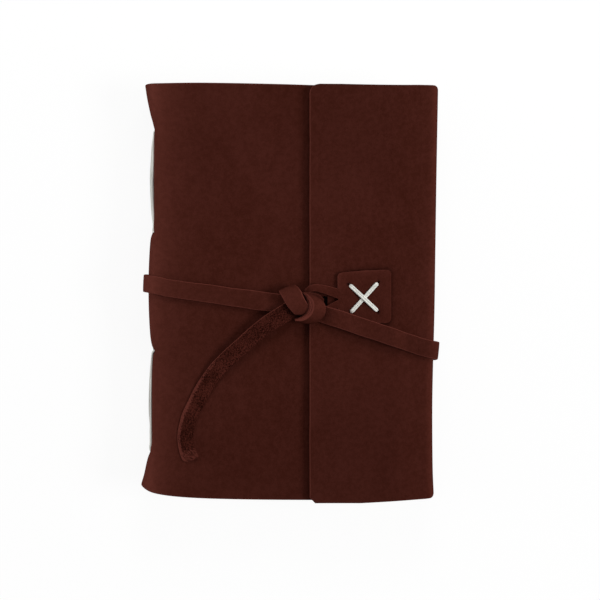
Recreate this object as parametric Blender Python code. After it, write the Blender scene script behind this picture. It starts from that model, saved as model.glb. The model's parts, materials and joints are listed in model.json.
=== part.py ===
"""A soft leather wrap journal, lying on its back, closed and tied with a flat lace.

The cover is one hide that runs front panel, spine, back panel, fore-edge fold and flap. It is split at its
bends, because each stretch moves by itself. The paper is gathered in folded signatures, each sewn through
its fold to the spine with a long stitch. Metres, +Z up: X runs from spine to fore-edge, Y from tail to head.
"""

import math

import bmesh
import bpy
import numpy as np

MM = 0.001

# Leather cover
LEATHER = 2.4 * MM
SPINE_X = -69.2 * MM
FORE_EDGE_X = 70.0 * MM
HEAD_Y = 101.6 * MM
TAIL_Y = -100.4 * MM
HEAD_CROWN = 0.5 * MM
TAIL_CROWN = 0.3 * MM
SPINE_BEND = 4.5 * MM
SPINE_TURN_IN = 8.0 * MM
FORE_EDGE_BEND = 4.0 * MM
FORE_EDGE_MARGIN = 1.0 * MM
COVER_INSET = 0.6 * MM

# Waves that the sewing pulls into the spine
HEAD_FLARE = 2.0 * MM
TAIL_FLARE = 3.2 * MM
FLARE_LENGTH = 20.0 * MM
STATION_DIPS = (2.2 * MM, 1.0 * MM, 1.0 * MM, 0.6 * MM)
DIP_LENGTH = 20.0 * MM
TAIL_RISE = 4.0 * MM

# Flap
FLAP_EDGE_X = 8.5 * MM
FLAP_HEAD_Y = 101.8 * MM
FLAP_TAIL_Y = -102.1 * MM
FLAP_HEAD_RADIUS = 4.4 * MM
FLAP_TAIL_CUT = 2.4 * MM

# Paper
SIGNATURES = 6
SIGNATURE = 3.1 * MM
PAGE_HEIGHT = 192.0 * MM
PAGE_INSET = 2.0 * MM
FOLD_WALL = 1.3 * MM
FOLD_SLIT = 0.4 * MM

# Sewing
STATIONS = (79.4 * MM, 29.7 * MM, -28.2 * MM, -77.4 * MM)
THREAD = 1.1 * MM
THREAD_BEND = 0.9 * MM
THREAD_END = 5.0 * MM
SEWING_HOLE = 1.7 * MM

# Lace
LACE = 8.5 * MM
LACE_THICKNESS = 2.0 * MM
LACE_CHAMFER = 0.35 * MM
LACE_SPINE_Y = 3.7 * MM
LACE_SPINE_DROP = 1.0 * MM
LACE_LEFT_END = (-0.5 * MM, -5.5 * MM)
LACE_RIGHT_START = (17.4 * MM, -10.9 * MM)
LACE_FORE_EDGE_Y = -28.2 * MM
LACE_FORE_EDGE_DROP = 0.3 * MM

# Patch and its tongue
PATCH = 26.0 * MM
PATCH_X = 35.3 * MM
PATCH_Y = -1.9 * MM
PATCH_TILT = math.radians(2.0)
PATCH_RADIUS = 2.4 * MM
TONGUE_STRAND = 3.6 * MM
TONGUE_ARCH = 1.2 * MM
TONGUE_END = (5.6 * MM, 11.4 * MM)
TONGUE_TIP = (13.3 * MM, 1.9 * MM)
TONGUE_POINT = 1.0 * MM
STITCH_SPAN_X = 6.6 * MM
STITCH_SPAN_Y = 6.4 * MM
STITCH = 2.2 * MM
STITCH_LEG = 1.4 * MM
STITCH_THICKNESS = 1.0 * MM
STITCH_HOLE = 2.4 * MM

# Knot and tail
KNOT_X = 4.4 * MM
KNOT_Y = -7.3 * MM
COLLAR_TOP = math.radians(85.0)
COLLAR_END = math.radians(-112.0)
COLLAR_RIM = 5.0 * MM
COLLAR_RIM_RIGHT = 0.4 * MM
COLLAR_RIM_HEAD = 1.0 * MM
COLLAR_SPREAD = 2.2 * MM
COLLAR_SPREAD_RIGHT = 4.0 * MM
KNOT_BAND_ACROSS = (8.0, 2.7, 0.0)
KNOT_BAND = (
    (-7.0 * MM, 11.0 * MM, 1.8 * MM),
    (-7.4 * MM, 11.6 * MM, 4.2 * MM),
    (-6.6 * MM, 10.6 * MM, 7.2 * MM),
    (-4.6 * MM, 7.9 * MM, 9.4 * MM),
    (-2.2 * MM, 4.3 * MM, 10.0 * MM),
    (-0.2 * MM, 1.0 * MM, 8.8 * MM),
    (0.8 * MM, -1.5 * MM, 6.6 * MM),
    (1.2 * MM, -3.1 * MM, 4.8 * MM),
)
TAIL_ROUTE = (
    (-1.7, -8.9, 32.2),
    (-6.0, -11.6, 32.3),
    (-10.6, -14.4, 32.0),
    (-16.4, -18.8, 31.6),
    (-22.3, -24.0, 31.0),
    (-28.6, -29.6, 30.4),
    (-34.7, -35.5, 29.9),
    (-38.2, -39.7, 29.7),
    (-41.3, -44.2, 29.5),
    (-44.2, -49.0, 29.4),
    (-46.8, -54.0, 29.3),
    (-48.7, -58.0, 29.3),
    (-50.2, -62.0, 29.3),
    (-51.6, -69.0, 29.3),
    (-51.0, -75.8, 29.3),
    (-49.0, -81.3, 29.3),
)
TAIL_ROLL = (8.0, 8.0, 5.0, 1.0, 0.0)

# Room between pieces that touch
GAP = 0.3 * MM

# Heights of the layers, from the lace under the back cover upwards
BACK_Z = LACE_THICKNESS + GAP
BLOCK_Z = BACK_Z + LEATHER + GAP
PITCH = SIGNATURE + GAP
FRONT_Z = BLOCK_Z + SIGNATURES * PITCH
FLAP_Z = FRONT_Z + LEATHER + GAP
FRONT_TOP = FRONT_Z + LEATHER
FLAP_TOP = FLAP_Z + LEATHER
PATCH_Z = FLAP_TOP + GAP
PATCH_TOP = PATCH_Z + LACE_THICKNESS
FOLD_X = SPINE_X + LEATHER + max(STATION_DIPS) + GAP
HINGE_X = SPINE_X + 0.5 * LEATHER
FOLD_AXIS_Z = BACK_Z + FORE_EDGE_BEND + 0.5 * GAP
FLAP_AXIS_X = FORE_EDGE_X - FORE_EDGE_BEND - 0.5 * GAP
THREAD_RUN_X = FOLD_X + FOLD_WALL + 0.5 * SEWING_HOLE

SIDES = 8
ARC_STEPS = 6


def clear_scene():
    for old in list(bpy.data.objects):
        bpy.data.objects.remove(old, do_unlink=True)


def make_material(name, colour, roughness):
    material = bpy.data.materials.new(name)
    material.use_nodes = True
    shader = material.node_tree.nodes["Principled BSDF"]
    shader.inputs["Base Color"].default_value = (*colour, 1.0)
    shader.inputs["Roughness"].default_value = roughness
    shader.inputs["Metallic"].default_value = 0.0
    return material


def add_empty(name, place, parent=None):
    """An empty on a hinge line, which carries one moving body."""
    empty = bpy.data.objects.new(name, None)
    bpy.context.collection.objects.link(empty)
    empty.location = place
    if parent is not None:
        bpy.context.view_layer.update()
        empty.parent = parent
        empty.matrix_parent_inverse = parent.matrix_world.inverted()
    bpy.context.view_layer.update()
    return empty


def add_object(name, data, material, carrier=None):
    piece = bpy.data.objects.new(name, data)
    bpy.context.collection.objects.link(piece)
    data.materials.append(material)
    if carrier is not None:
        piece.parent = carrier
        piece.matrix_parent_inverse = carrier.matrix_world.inverted()
    return piece


def add_mesh(name, points, faces, material, carrier=None):
    data = bpy.data.meshes.new(name)
    data.from_pydata([tuple(p) for p in points], [], faces)
    shape = bmesh.new()
    shape.from_mesh(data)
    bmesh.ops.recalc_face_normals(shape, faces=shape.faces[:])
    shape.to_mesh(data)
    shape.free()
    return add_object(name, data, material, carrier)


def cut(piece, cutters):
    """Cuts hidden solids out of a piece and leaves the modifiers live."""
    for number, cutter in enumerate(cutters):
        cutter.hide_render = True
        cutter.display_type = "WIRE"
        cutter.parent = piece
        cutter.matrix_parent_inverse = piece.matrix_world.inverted()
        modifier = piece.modifiers.new(f"hole_{number}", "BOOLEAN")
        modifier.operation = "DIFFERENCE"
        modifier.solver = "EXACT"
        modifier.object = cutter


def extruded(name, outline, axis, low, high, material, carrier=None):
    """Extrudes a closed outline along Y (an XZ outline) or Z (an XY outline) from low to high."""
    place = (lambda a, b, c: (a, c, b)) if axis == "Y" else (lambda a, b, c: (a, b, c))
    count = len(outline)
    points = [place(a, b, low) for a, b in outline] + [place(a, b, high) for a, b in outline]
    faces = [(i, (i + 1) % count, (i + 1) % count + count, i + count) for i in range(count)]
    faces.append(tuple(range(count)))
    faces.append(tuple(range(count, 2 * count)))
    return add_mesh(name, points, faces, material, carrier)


def arc(centre, radius, start, end, steps):
    angles = np.linspace(math.radians(start), math.radians(end), steps + 1)
    return [(centre[0] + radius * math.cos(a), centre[1] + radius * math.sin(a)) for a in angles]


def hole_cutter(name, rows, radius, axis, material):
    """One mesh of round pins, each from a low to a high point along X or Z."""
    points = []
    faces = []
    for low, high in rows:
        first = len(points)
        for end in (low, high):
            for k in range(SIDES):
                turn = 2.0 * math.pi * (k + 0.5) / SIDES
                a, b = radius * math.cos(turn), radius * math.sin(turn)
                offset = (0.0, a, b) if axis == "X" else (a, b, 0.0)
                points.append(tuple(end[i] + offset[i] for i in range(3)))
        ring = range(SIDES)
        faces += [
            (first + k, first + (k + 1) % SIDES, first + SIDES + (k + 1) % SIDES, first + SIDES + k)
            for k in ring
        ]
        faces.append(tuple(first + k for k in ring))
        faces.append(tuple(first + SIDES + k for k in ring))
    return add_mesh(name, points, faces, material)


def unit(vectors):
    return vectors / np.linalg.norm(vectors, axis=-1, keepdims=True)


def square_frame(path, normals):
    """Width and thickness directions square to a path, with the thickness near the given normals."""
    along = unit(np.gradient(np.asarray(path, float), axis=0))
    across = unit(np.cross(np.asarray(normals, float), along))
    return across, unit(np.cross(along, across))


def strap(name, path, frame, width, thickness, material, carrier=None):
    """Carries a flat section with cut corners along a path; frame holds its width and thickness directions."""
    path = np.asarray(path, float)
    across, up = frame
    half_width = 0.5 * np.broadcast_to(width, len(path))[:, None]
    half_thick = 0.5 * thickness
    chamfer = min(LACE_CHAMFER, 0.3 * thickness)
    corners = []
    for side, face, trim_side, trim_face in (
        (1, -1, 0, 1),
        (1, 1, 0, 1),
        (1, 1, 1, 0),
        (-1, 1, 1, 0),
        (-1, 1, 0, 1),
        (-1, -1, 0, 1),
        (-1, -1, 1, 0),
        (1, -1, 1, 0),
    ):
        corners.append(
            path
            + across * side * (half_width - trim_side * chamfer)
            + up * face * (half_thick - trim_face * chamfer)
        )
    rings = np.stack(corners, axis=1)
    count, size = rings.shape[:2]
    faces = []
    for i in range(count - 1):
        for k in range(size):
            n = (k + 1) % size
            faces.append((i * size + k, i * size + n, (i + 1) * size + n, (i + 1) * size + k))
    faces.append(tuple(range(size)))
    faces.append(tuple((count - 1) * size + k for k in range(size)))
    return add_mesh(name, rings.reshape(-1, 3), faces, material, carrier)


def smooth_curve(points, samples):
    """Evenly sampled Catmull-Rom curve through the points."""
    points = np.asarray(points, float)
    padded = np.vstack([2 * points[0] - points[1], points, 2 * points[-1] - points[-2]])
    values = np.linspace(0.0, len(points) - 1.0, samples)
    index = np.minimum(values.astype(int), len(points) - 2)
    t = (values - index)[:, None]
    p0, p1, p2, p3 = (padded[index + k] for k in range(4))
    cubic = -p0 + 3.0 * p1 - 3.0 * p2 + p3
    square = 2.0 * p0 - 5.0 * p1 + 4.0 * p2 - p3
    return 0.5 * (2.0 * p1 + (p2 - p0) * t + square * t**2 + cubic * t**3)


def smooth_step(value):
    value = np.clip(value, 0.0, 1.0)
    return value * value * (3.0 - 2.0 * value)


def spine_wave(y):
    """How far the spine's outer face stands in (+) from its mean: dips at the stations, flared ends."""
    y = np.asarray(y, float)
    wave = np.zeros_like(y)
    for station, dip in zip(STATIONS, STATION_DIPS):
        wave = wave + dip * np.exp(-(((y - station) / DIP_LENGTH) ** 2))
    wave = wave - (HEAD_FLARE + wave) * smooth_step((y - HEAD_Y + FLARE_LENGTH) / FLARE_LENGTH)
    tail = TAIL_Y + TAIL_RISE
    return wave - (TAIL_FLARE + wave) * smooth_step((tail + FLARE_LENGTH - y) / FLARE_LENGTH)


def spine_section(offset):
    """The spine's C section at a depth under its outer face, from lower to upper turn-in, as XZ points."""
    radius = SPINE_BEND - offset
    low_centre = (SPINE_X + SPINE_BEND, BACK_Z + SPINE_BEND)
    high_centre = (SPINE_X + SPINE_BEND, FRONT_TOP - SPINE_BEND)
    section = [(SPINE_X + SPINE_TURN_IN, BACK_Z + offset)]
    section += arc(low_centre, radius, 270.0, 180.0, ARC_STEPS)
    section += arc(high_centre, radius, 180.0, 90.0, ARC_STEPS)
    section.append((SPINE_X + SPINE_TURN_IN, FRONT_TOP - offset))
    return np.array(section)


def make_spine(material):
    """The spine leather, waved along its length, with a sewing hole for each thread at each station."""
    rows = 33
    outer, inner = spine_section(0.0), spine_section(LEATHER)
    weight = smooth_step(1.0 - (outer[:, 0] - SPINE_X) / SPINE_TURN_IN)
    tail = TAIL_Y + TAIL_RISE * weight
    share = np.linspace(0.0, 1.0, rows)[:, None]
    y = tail[None, :] + share * (HEAD_Y - tail[None, :])
    sheets = []
    for section in (outer, inner):
        x = section[None, :, 0] + spine_wave(y) * weight[None, :]
        z = np.broadcast_to(section[None, :, 1], x.shape)
        sheets.append(np.stack([x, y, z], axis=-1))
    columns = len(outer)
    points = np.concatenate([sheet.reshape(-1, 3) for sheet in sheets])
    size = rows * columns
    faces = []
    for i in range(rows - 1):
        for k in range(columns - 1):
            a = i * columns + k
            faces.append((a, a + 1, a + columns + 1, a + columns))
            faces.append((size + a, size + a + columns, size + a + columns + 1, size + a + 1))
    for k in range(columns - 1):
        top = (rows - 1) * columns + k
        faces.append((k, size + k, size + k + 1, k + 1))
        faces.append((top, top + 1, size + top + 1, size + top))
    for i in range(rows - 1):
        a, b = i * columns, i * columns + columns - 1
        faces.append((a, a + columns, size + a + columns, size + a))
        faces.append((b, size + b, size + b + columns, b + columns))
    spine = add_mesh("spine", points, faces, material)
    reach = SPINE_TURN_IN
    pins = [
        ((SPINE_X - reach, y, signature_z(i)), (FOLD_X, y, signature_z(i)))
        for y in STATIONS
        for i in range(SIGNATURES)
    ]
    cut(spine, [hole_cutter("spine_holes", pins, 0.5 * SEWING_HOLE, "X", material)])
    return spine


def signature_z(index):
    return BLOCK_Z + index * PITCH + 0.5 * SIGNATURE


def signature_outline(middle):
    """A folded gathering seen from its tail: round fold, centre slit with room for the thread."""
    half = 0.5 * SIGNATURE
    edge = page_edge_x()
    bulb = 0.5 * SEWING_HOLE
    half_slit = 0.5 * FOLD_SLIT
    mouth = math.degrees(math.asin(half_slit / bulb))
    outline = [(edge, middle - half)]
    outline += arc((FOLD_X + half, middle), half, 270.0, 90.0, 2 * ARC_STEPS)
    outline.append((edge, middle + half))
    outline.append((edge, middle + half_slit))
    outline += arc((THREAD_RUN_X, middle), bulb, mouth, 360.0 - mouth, 2 * ARC_STEPS)
    outline.append((edge, middle - half_slit))
    return outline


def page_edge_x():
    return front_edge_x() - PAGE_INSET


def front_edge_x():
    return FORE_EDGE_X - FORE_EDGE_BEND - COVER_INSET


def make_signature(index, paper, carrier):
    middle = signature_z(index)
    low, high = -0.5 * PAGE_HEIGHT, 0.5 * PAGE_HEIGHT
    gathering = extruded(
        f"signature_{index + 1}", signature_outline(middle), "Y", low, high, paper, carrier
    )
    reach = FOLD_X - SIGNATURE
    pins = [((reach, y, middle), (THREAD_RUN_X, y, middle)) for y in STATIONS]
    holes = hole_cutter(f"fold_holes_{index + 1}", pins, 0.5 * SEWING_HOLE, "X", paper)
    cut(gathering, [holes])
    return gathering


def round_corners(points, radius, steps):
    """Replaces each inner corner of a route by a short round turn."""
    points = np.asarray(points, float)
    route = [points[0]]
    for before, corner, after in zip(points[:-2], points[1:-1], points[2:]):
        back, on = unit(before - corner), unit(after - corner)
        turn = math.acos(float(np.clip(-(back @ on), -1.0, 1.0)))
        if turn < math.radians(20.0):
            route.append(corner)
            continue
        reach = radius * math.tan(0.5 * turn)
        for t in np.linspace(0.0, 1.0, steps + 1):
            a, b = corner + back * reach * (1.0 - t), corner + on * reach * t
            route.append(a * (1.0 - t) + b * t)
    route.append(points[-1])
    return np.array(route)


def outside_run(start, end, z):
    """The long stitch on the spine's outside, which follows the leather's wave."""
    y = np.linspace(start, end, 9)
    x = SPINE_X + spine_wave(y) - 0.5 * THREAD - GAP
    return [(a, b, z) for a, b in zip(x, y)]


def make_thread(index, material, carrier):
    """One thread: out at the first station, long stitch, in, along the fold, out, long stitch, in."""
    z = signature_z(index)
    first, second, third, last = STATIONS
    route = [(THREAD_RUN_X, first + THREAD_END, z), (THREAD_RUN_X, first, z)]
    route += outside_run(first, second, z)
    route += [(THREAD_RUN_X, second, z), (THREAD_RUN_X, third, z)]
    route += outside_run(third, last, z)
    route += [(THREAD_RUN_X, last, z), (THREAD_RUN_X, last - THREAD_END, z)]
    return tube(f"sewing_thread_{index + 1}", round_corners(route, THREAD_BEND, 3), THREAD, material, carrier)


def tube(name, route, diameter, material, carrier):
    data = bpy.data.curves.new(name, "CURVE")
    data.dimensions = "3D"
    data.bevel_depth = 0.5 * diameter
    data.bevel_resolution = 1
    data.use_fill_caps = True
    spline = data.splines.new("POLY")
    spline.points.add(len(route) - 1)
    for point, place in zip(spline.points, route):
        point.co = (*place, 1.0)
    return add_object(name, data, material, carrier)


def make_front_cover(material, carrier):
    left = SPINE_X + SPINE_TURN_IN + GAP
    right = front_edge_x()
    middle = 0.5 * (left + right)
    outline = [
        (left, TAIL_Y + COVER_INSET),
        (middle, TAIL_Y - TAIL_CROWN),
        (right, TAIL_Y),
        (right, HEAD_Y),
        (middle, HEAD_Y + HEAD_CROWN),
        (left, HEAD_Y),
    ]
    return extruded("front_cover", outline, "Z", FRONT_Z, FRONT_TOP, material, carrier)


def make_back_cover(material):
    """The back panel with its fore-edge bend turned up, as one section drawn from tail to head."""
    left = SPINE_X + SPINE_TURN_IN + GAP
    centre = (FORE_EDGE_X - FORE_EDGE_BEND, BACK_Z + FORE_EDGE_BEND)
    outline = [(left, BACK_Z)]
    outline += arc(centre, FORE_EDGE_BEND, 270.0, 360.0, ARC_STEPS)
    outline += arc(centre, FORE_EDGE_BEND - LEATHER, 360.0, 270.0, ARC_STEPS)
    outline.append((left, BACK_Z + LEATHER))
    return extruded("back_cover", outline, "Y", TAIL_Y, HEAD_Y, material)


def make_fore_edge(material, carrier):
    """The wall that closes the fore-edge, with the bend that brings the hide over to the flap."""
    low = FOLD_AXIS_Z + 0.5 * GAP
    centre = (FORE_EDGE_X - FORE_EDGE_BEND, FLAP_TOP - FORE_EDGE_BEND)
    outline = [(FORE_EDGE_X - LEATHER, low), (FORE_EDGE_X, low)]
    outline += arc(centre, FORE_EDGE_BEND, 0.0, 90.0, ARC_STEPS)
    outline += arc(centre, FORE_EDGE_BEND - LEATHER, 90.0, 0.0, ARC_STEPS)
    tail, head = TAIL_Y + FORE_EDGE_MARGIN, HEAD_Y - FORE_EDGE_MARGIN
    return extruded("fore_edge", outline, "Y", tail, head, material, carrier)


def make_flap(material, carrier):
    """The flap: rounded at the head of its free edge, clipped at the tail, a little narrower at the fold."""
    right = FLAP_AXIS_X - 0.5 * GAP
    centre = (FLAP_EDGE_X + FLAP_HEAD_RADIUS, FLAP_HEAD_Y - FLAP_HEAD_RADIUS)
    outline = [
        (FLAP_EDGE_X, FLAP_TAIL_Y + FLAP_TAIL_CUT),
        (FLAP_EDGE_X + FLAP_TAIL_CUT, FLAP_TAIL_Y),
        (right, TAIL_Y + FORE_EDGE_MARGIN),
        (right, HEAD_Y - FORE_EDGE_MARGIN),
    ]
    outline += arc(centre, FLAP_HEAD_RADIUS, 90.0, 180.0, ARC_STEPS)
    flap = extruded("flap", outline, "Z", FLAP_Z, FLAP_TOP, material, carrier)
    cut(flap, [stitch_holes("flap_stitch_holes", FLAP_Z - LEATHER, FLAP_TOP + LEATHER, material)])
    return flap


def wrapped_lace(name, path, facing, material, carrier=None):
    """A run of the lace that is cut square to X or Z at both ends, so that the next run meets it flush.

    Its section is drawn along Y and widened by the run's slope, which leaves the lace at its own width.
    """
    path = np.asarray(path, float)
    along = unit(np.gradient(path, axis=0))
    up = np.stack([facing[:, 0], np.zeros(len(facing)), facing[:, 1]], axis=1)
    across = np.broadcast_to((0.0, 1.0, 0.0), path.shape)
    width = LACE / np.sqrt(1.0 - along[:, 1] ** 2)
    return strap(name, path, (across, unit(up)), width, LACE_THICKNESS, material, carrier)


def lace_height(base):
    return base + GAP + 0.5 * LACE_THICKNESS


def make_left_arm(material, carrier):
    left = SPINE_X + SPINE_TURN_IN + GAP
    x = np.linspace(left, LACE_LEFT_END[0], 4)
    path = np.stack([x, left_arm_y(x), np.full_like(x, lace_height(FRONT_TOP))], axis=1)
    facing = np.array([(0.0, 1.0)] * len(x))
    return wrapped_lace("tie_left_arm", path, facing, material, carrier)


def left_arm_y(x):
    slope = (LACE_LEFT_END[1] - LACE_SPINE_Y) / (LACE_LEFT_END[0] - SPINE_X)
    return LACE_SPINE_Y + slope * (x - SPINE_X)


def make_spine_run(material):
    """The lace round the spine, from the left arm down to the back run, over the leather's wave."""
    offset = -(GAP + 0.5 * LACE_THICKNESS)
    section = spine_section(offset)
    inner = spine_section(0.0)
    weight = smooth_step(1.0 - (inner[:, 0] - SPINE_X) / SPINE_TURN_IN)
    start = left_arm_y(SPINE_X + SPINE_TURN_IN)
    end = LACE_SPINE_Y + LACE_SPINE_DROP + back_slope() * SPINE_TURN_IN
    steps = np.concatenate([[0.0], np.cumsum(np.linalg.norm(np.diff(section, axis=0), axis=1))])
    share = steps / steps[-1]
    y = end + share * (start - end)
    x = section[:, 0] + spine_wave(y) * weight
    path = np.stack([x, y, section[:, 1]], axis=1)
    return wrapped_lace("tie_spine_run", path, section - inner, material)


def back_slope():
    """How fast the back run falls, per metre of X."""
    right = LACE_FORE_EDGE_Y - LACE_FORE_EDGE_DROP
    return (right - LACE_SPINE_Y - LACE_SPINE_DROP) / (FORE_EDGE_X - SPINE_X)


def make_back_run(material):
    """The lace across the back cover and up round its fore-edge bend."""
    offset = GAP + 0.5 * LACE_THICKNESS
    centre = (FORE_EDGE_X - FORE_EDGE_BEND, BACK_Z + FORE_EDGE_BEND)
    left = SPINE_X + SPINE_TURN_IN + GAP
    bend = arc(centre, FORE_EDGE_BEND + offset, 270.0, 360.0, ARC_STEPS)
    places = [(x, BACK_Z - offset) for x in np.linspace(left, centre[0], 4)[:-1]] + bend
    places = np.array(places)
    y = LACE_SPINE_Y + LACE_SPINE_DROP + back_slope() * (np.minimum(places[:, 0], FORE_EDGE_X) - SPINE_X)
    path = np.stack([places[:, 0], y, places[:, 1]], axis=1)
    facing = np.array([(0.0, -1.0)] * 3 + [(p[0] - centre[0], p[1] - centre[1]) for p in bend])
    return wrapped_lace("tie_back_run", path, facing, material)


def make_fore_edge_run(material, carrier):
    """The lace up the fore-edge and over its upper bend."""
    offset = GAP + 0.5 * LACE_THICKNESS
    centre = (FORE_EDGE_X - FORE_EDGE_BEND, FLAP_TOP - FORE_EDGE_BEND)
    low = (FORE_EDGE_X + offset, FOLD_AXIS_Z + 0.5 * GAP)
    bend = arc(centre, FORE_EDGE_BEND + offset, 0.0, 90.0, ARC_STEPS)
    places = np.array([low] + bend)
    top = right_arm_y(FLAP_AXIS_X)
    bottom = LACE_FORE_EDGE_Y - LACE_FORE_EDGE_DROP
    steps = np.concatenate([[0.0], np.cumsum(np.linalg.norm(np.diff(places, axis=0), axis=1))])
    y = bottom + steps / steps[-1] * (top - bottom)
    path = np.stack([places[:, 0], y, places[:, 1]], axis=1)
    facing = np.array([(1.0, 0.0)] + [(p[0] - centre[0], p[1] - centre[1]) for p in bend])
    return wrapped_lace("tie_fore_edge_run", path, facing, material, carrier)


def right_arm_y(x):
    slope = (LACE_FORE_EDGE_Y - LACE_RIGHT_START[1]) / (FORE_EDGE_X - LACE_RIGHT_START[0])
    return LACE_RIGHT_START[1] + slope * (x - LACE_RIGHT_START[0])


def make_right_arm(material, carrier):
    """The lace from the knot to the fore-edge: over the patch's corner, then down onto the flap."""
    end = FLAP_AXIS_X - 0.5 * GAP
    patch_side = PATCH_X + 0.5 * PATCH
    x = np.concatenate([[LACE_RIGHT_START[0]], np.linspace(patch_side, patch_side + LACE, 6), [end]])
    fall = smooth_step((x - patch_side) / LACE)
    z = lace_height(PATCH_TOP) + (lace_height(FLAP_TOP) - lace_height(PATCH_TOP)) * fall
    path = np.stack([x, right_arm_y(x), z], axis=1)
    facing = np.array([(0.0, 1.0)] * len(x))
    return wrapped_lace("tie_right_arm", path, facing, material, carrier)


def stitch_ends():
    """The four corners of the cross stitch: two arms, each from one corner to the opposite one."""
    rise = ((-1, 1), (1, -1)), ((1, 1), (-1, -1))
    return [
        [(PATCH_X + a * STITCH_SPAN_X, PATCH_Y + b * STITCH_SPAN_Y) for a, b in pair] for pair in rise
    ]


def stitch_holes(name, low, high, material):
    pins = [((x, y, low), (x, y, high)) for pair in stitch_ends() for x, y in pair]
    return hole_cutter(name, pins, 0.5 * STITCH_HOLE, "Z", material)


def make_patch(material, carrier):
    """The patch, a rounded square, with the two strands of its slit tongue running to the knot."""
    half = 0.5 * PATCH
    corner = half - PATCH_RADIUS
    turn = np.array(
        [[math.cos(PATCH_TILT), -math.sin(PATCH_TILT)], [math.sin(PATCH_TILT), math.cos(PATCH_TILT)]]
    )
    square = []
    for (a, b), start in (((1, -1), 270.0), ((1, 1), 0.0), ((-1, 1), 90.0)):
        square += arc((a * corner, b * corner), PATCH_RADIUS, start, start + 90.0, ARC_STEPS)
    square = [tuple(turn @ np.array(p) + (PATCH_X, PATCH_Y)) for p in square]
    root_x = PATCH_X - half
    share = np.linspace(0.0, 1.0, 9)[:, None]
    start = np.array([root_x, PATCH_Y + 0.5 * TONGUE_STRAND])
    end = np.array([KNOT_X, KNOT_Y]) + TONGUE_END
    upper = start + share * (end - start) + share * (1.0 - share) * (0.0, 4.0 * TONGUE_ARCH)
    side = unit(np.gradient(upper, axis=0))[:, ::-1] * (-1.0, 1.0)
    strand = list(upper - side * 0.5 * TONGUE_STRAND) + list((upper + side * 0.5 * TONGUE_STRAND)[::-1])
    tip = np.array([KNOT_X, KNOT_Y]) + TONGUE_TIP
    lower = [
        (root_x, PATCH_Y - 0.5 * TONGUE_STRAND),
        (tip[0], tip[1] + 0.5 * TONGUE_POINT),
        (tip[0], tip[1] - 0.5 * TONGUE_POINT),
        (root_x, PATCH_Y - 1.5 * TONGUE_STRAND),
    ]
    last = arc((-corner, -corner), PATCH_RADIUS, 180.0, 270.0, ARC_STEPS)
    last = [tuple(turn @ np.array(p) + (PATCH_X, PATCH_Y)) for p in last]
    outline = square + [tuple(p) for p in strand] + lower + last
    patch = extruded("tie_patch", outline, "Z", PATCH_Z, PATCH_TOP, material, carrier)
    cut(patch, [stitch_holes("patch_stitch_holes", PATCH_Z - LEATHER, PATCH_TOP + LEATHER, material)])
    return patch


def make_cross_stitch(name, ends, lift, material, carrier):
    """One arm of the cross: a doubled thread up through its hole, across and down through the other."""
    (x0, y0), (x1, y1) = ends
    run = np.array([x1 - x0, y1 - y0, 0.0])
    along = run / np.linalg.norm(run)
    bottom = FLAP_Z + GAP
    top = PATCH_TOP + GAP + 0.5 * STITCH_THICKNESS
    start, end = np.array([x0, y0, bottom]), np.array([x1, y1, bottom])
    rise = np.array([0.0, 0.0, top - bottom])
    crown = 0.5 * (start + end) + rise + (0.0, 0.0, lift)
    turn = 0.5 * STITCH_HOLE
    path = [
        start,
        start + rise * 0.8,
        start + rise + along * 0.45 * turn,
        start + rise + along * 1.6 * turn,
        crown,
        end + rise - along * 1.6 * turn,
        end + rise - along * 0.45 * turn,
        end + rise * 0.8,
        end,
    ]
    level = np.array((0.0, 0.0, 1.0))
    normals = [-along, -along, level - along, level, level, level, level + along, along, along]
    widths = np.array([STITCH_LEG] * 2 + [STITCH_LEG] + [STITCH] * 3 + [STITCH_LEG] + [STITCH_LEG] * 2)
    return strap(name, path, square_frame(path, normals), widths, STITCH_THICKNESS, material, carrier)


def make_knot(material, carrier):
    """The hitch: a collar of lace turned round the knot's middle, and a band over it from the left arm."""
    centre = np.array([KNOT_X, KNOT_Y])
    angle = np.linspace(COLLAR_TOP, COLLAR_END, 25)
    right = np.maximum(np.cos(angle), 0.0) ** 1.5
    rim = COLLAR_RIM + COLLAR_RIM_RIGHT * np.cos(angle) + COLLAR_RIM_HEAD * np.sin(angle)
    spread = COLLAR_SPREAD + COLLAR_SPREAD_RIGHT * right
    rise = np.sqrt(LACE**2 - spread**2)
    heading = np.stack([np.cos(angle), np.sin(angle)], axis=1)
    middle = centre + heading * (rim + 0.5 * spread)[:, None]
    foot = lace_height(FLAP_TOP)
    path = np.column_stack([middle, foot + 0.5 * rise])
    normals = np.column_stack([heading * rise[:, None], spread])
    collar = strap("tie_knot", path, square_frame(path, normals), LACE, LACE_THICKNESS, material, carrier)
    band_path = smooth_curve(np.array(KNOT_BAND) + (KNOT_X, KNOT_Y, FRONT_TOP), 22)
    along = unit(np.gradient(band_path, axis=0))
    frame = square_frame(band_path, np.cross(along, KNOT_BAND_ACROSS))
    band = strap("knot_band", band_path, frame, LACE, LACE_THICKNESS, material)
    band.hide_render = True
    band.display_type = "WIRE"
    joined = collar.modifiers.new("band", "BOOLEAN")
    joined.operation = "UNION"
    joined.solver = "EXACT"
    joined.object = band
    return collar


def make_tail(material, carrier):
    """The lace's free end, flesh side up: off the knot, over the left arm's edge and down on the cover.

    It leans over onto its lower edge, as a flat lace does in a curve.
    """
    path = smooth_curve(np.array(TAIL_ROUTE) * MM, 30)
    across, up = square_frame(path, (0.0, 0.0, 1.0))
    share = np.linspace(0.0, len(TAIL_ROLL) - 1.0, len(path))
    roll = np.radians(np.interp(share, range(len(TAIL_ROLL)), TAIL_ROLL))[:, None]
    frame = (across * np.cos(roll) - up * np.sin(roll), up * np.cos(roll) + across * np.sin(roll))
    return strap("tie_tail", path, frame, LACE, LACE_THICKNESS, material, carrier)


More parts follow.
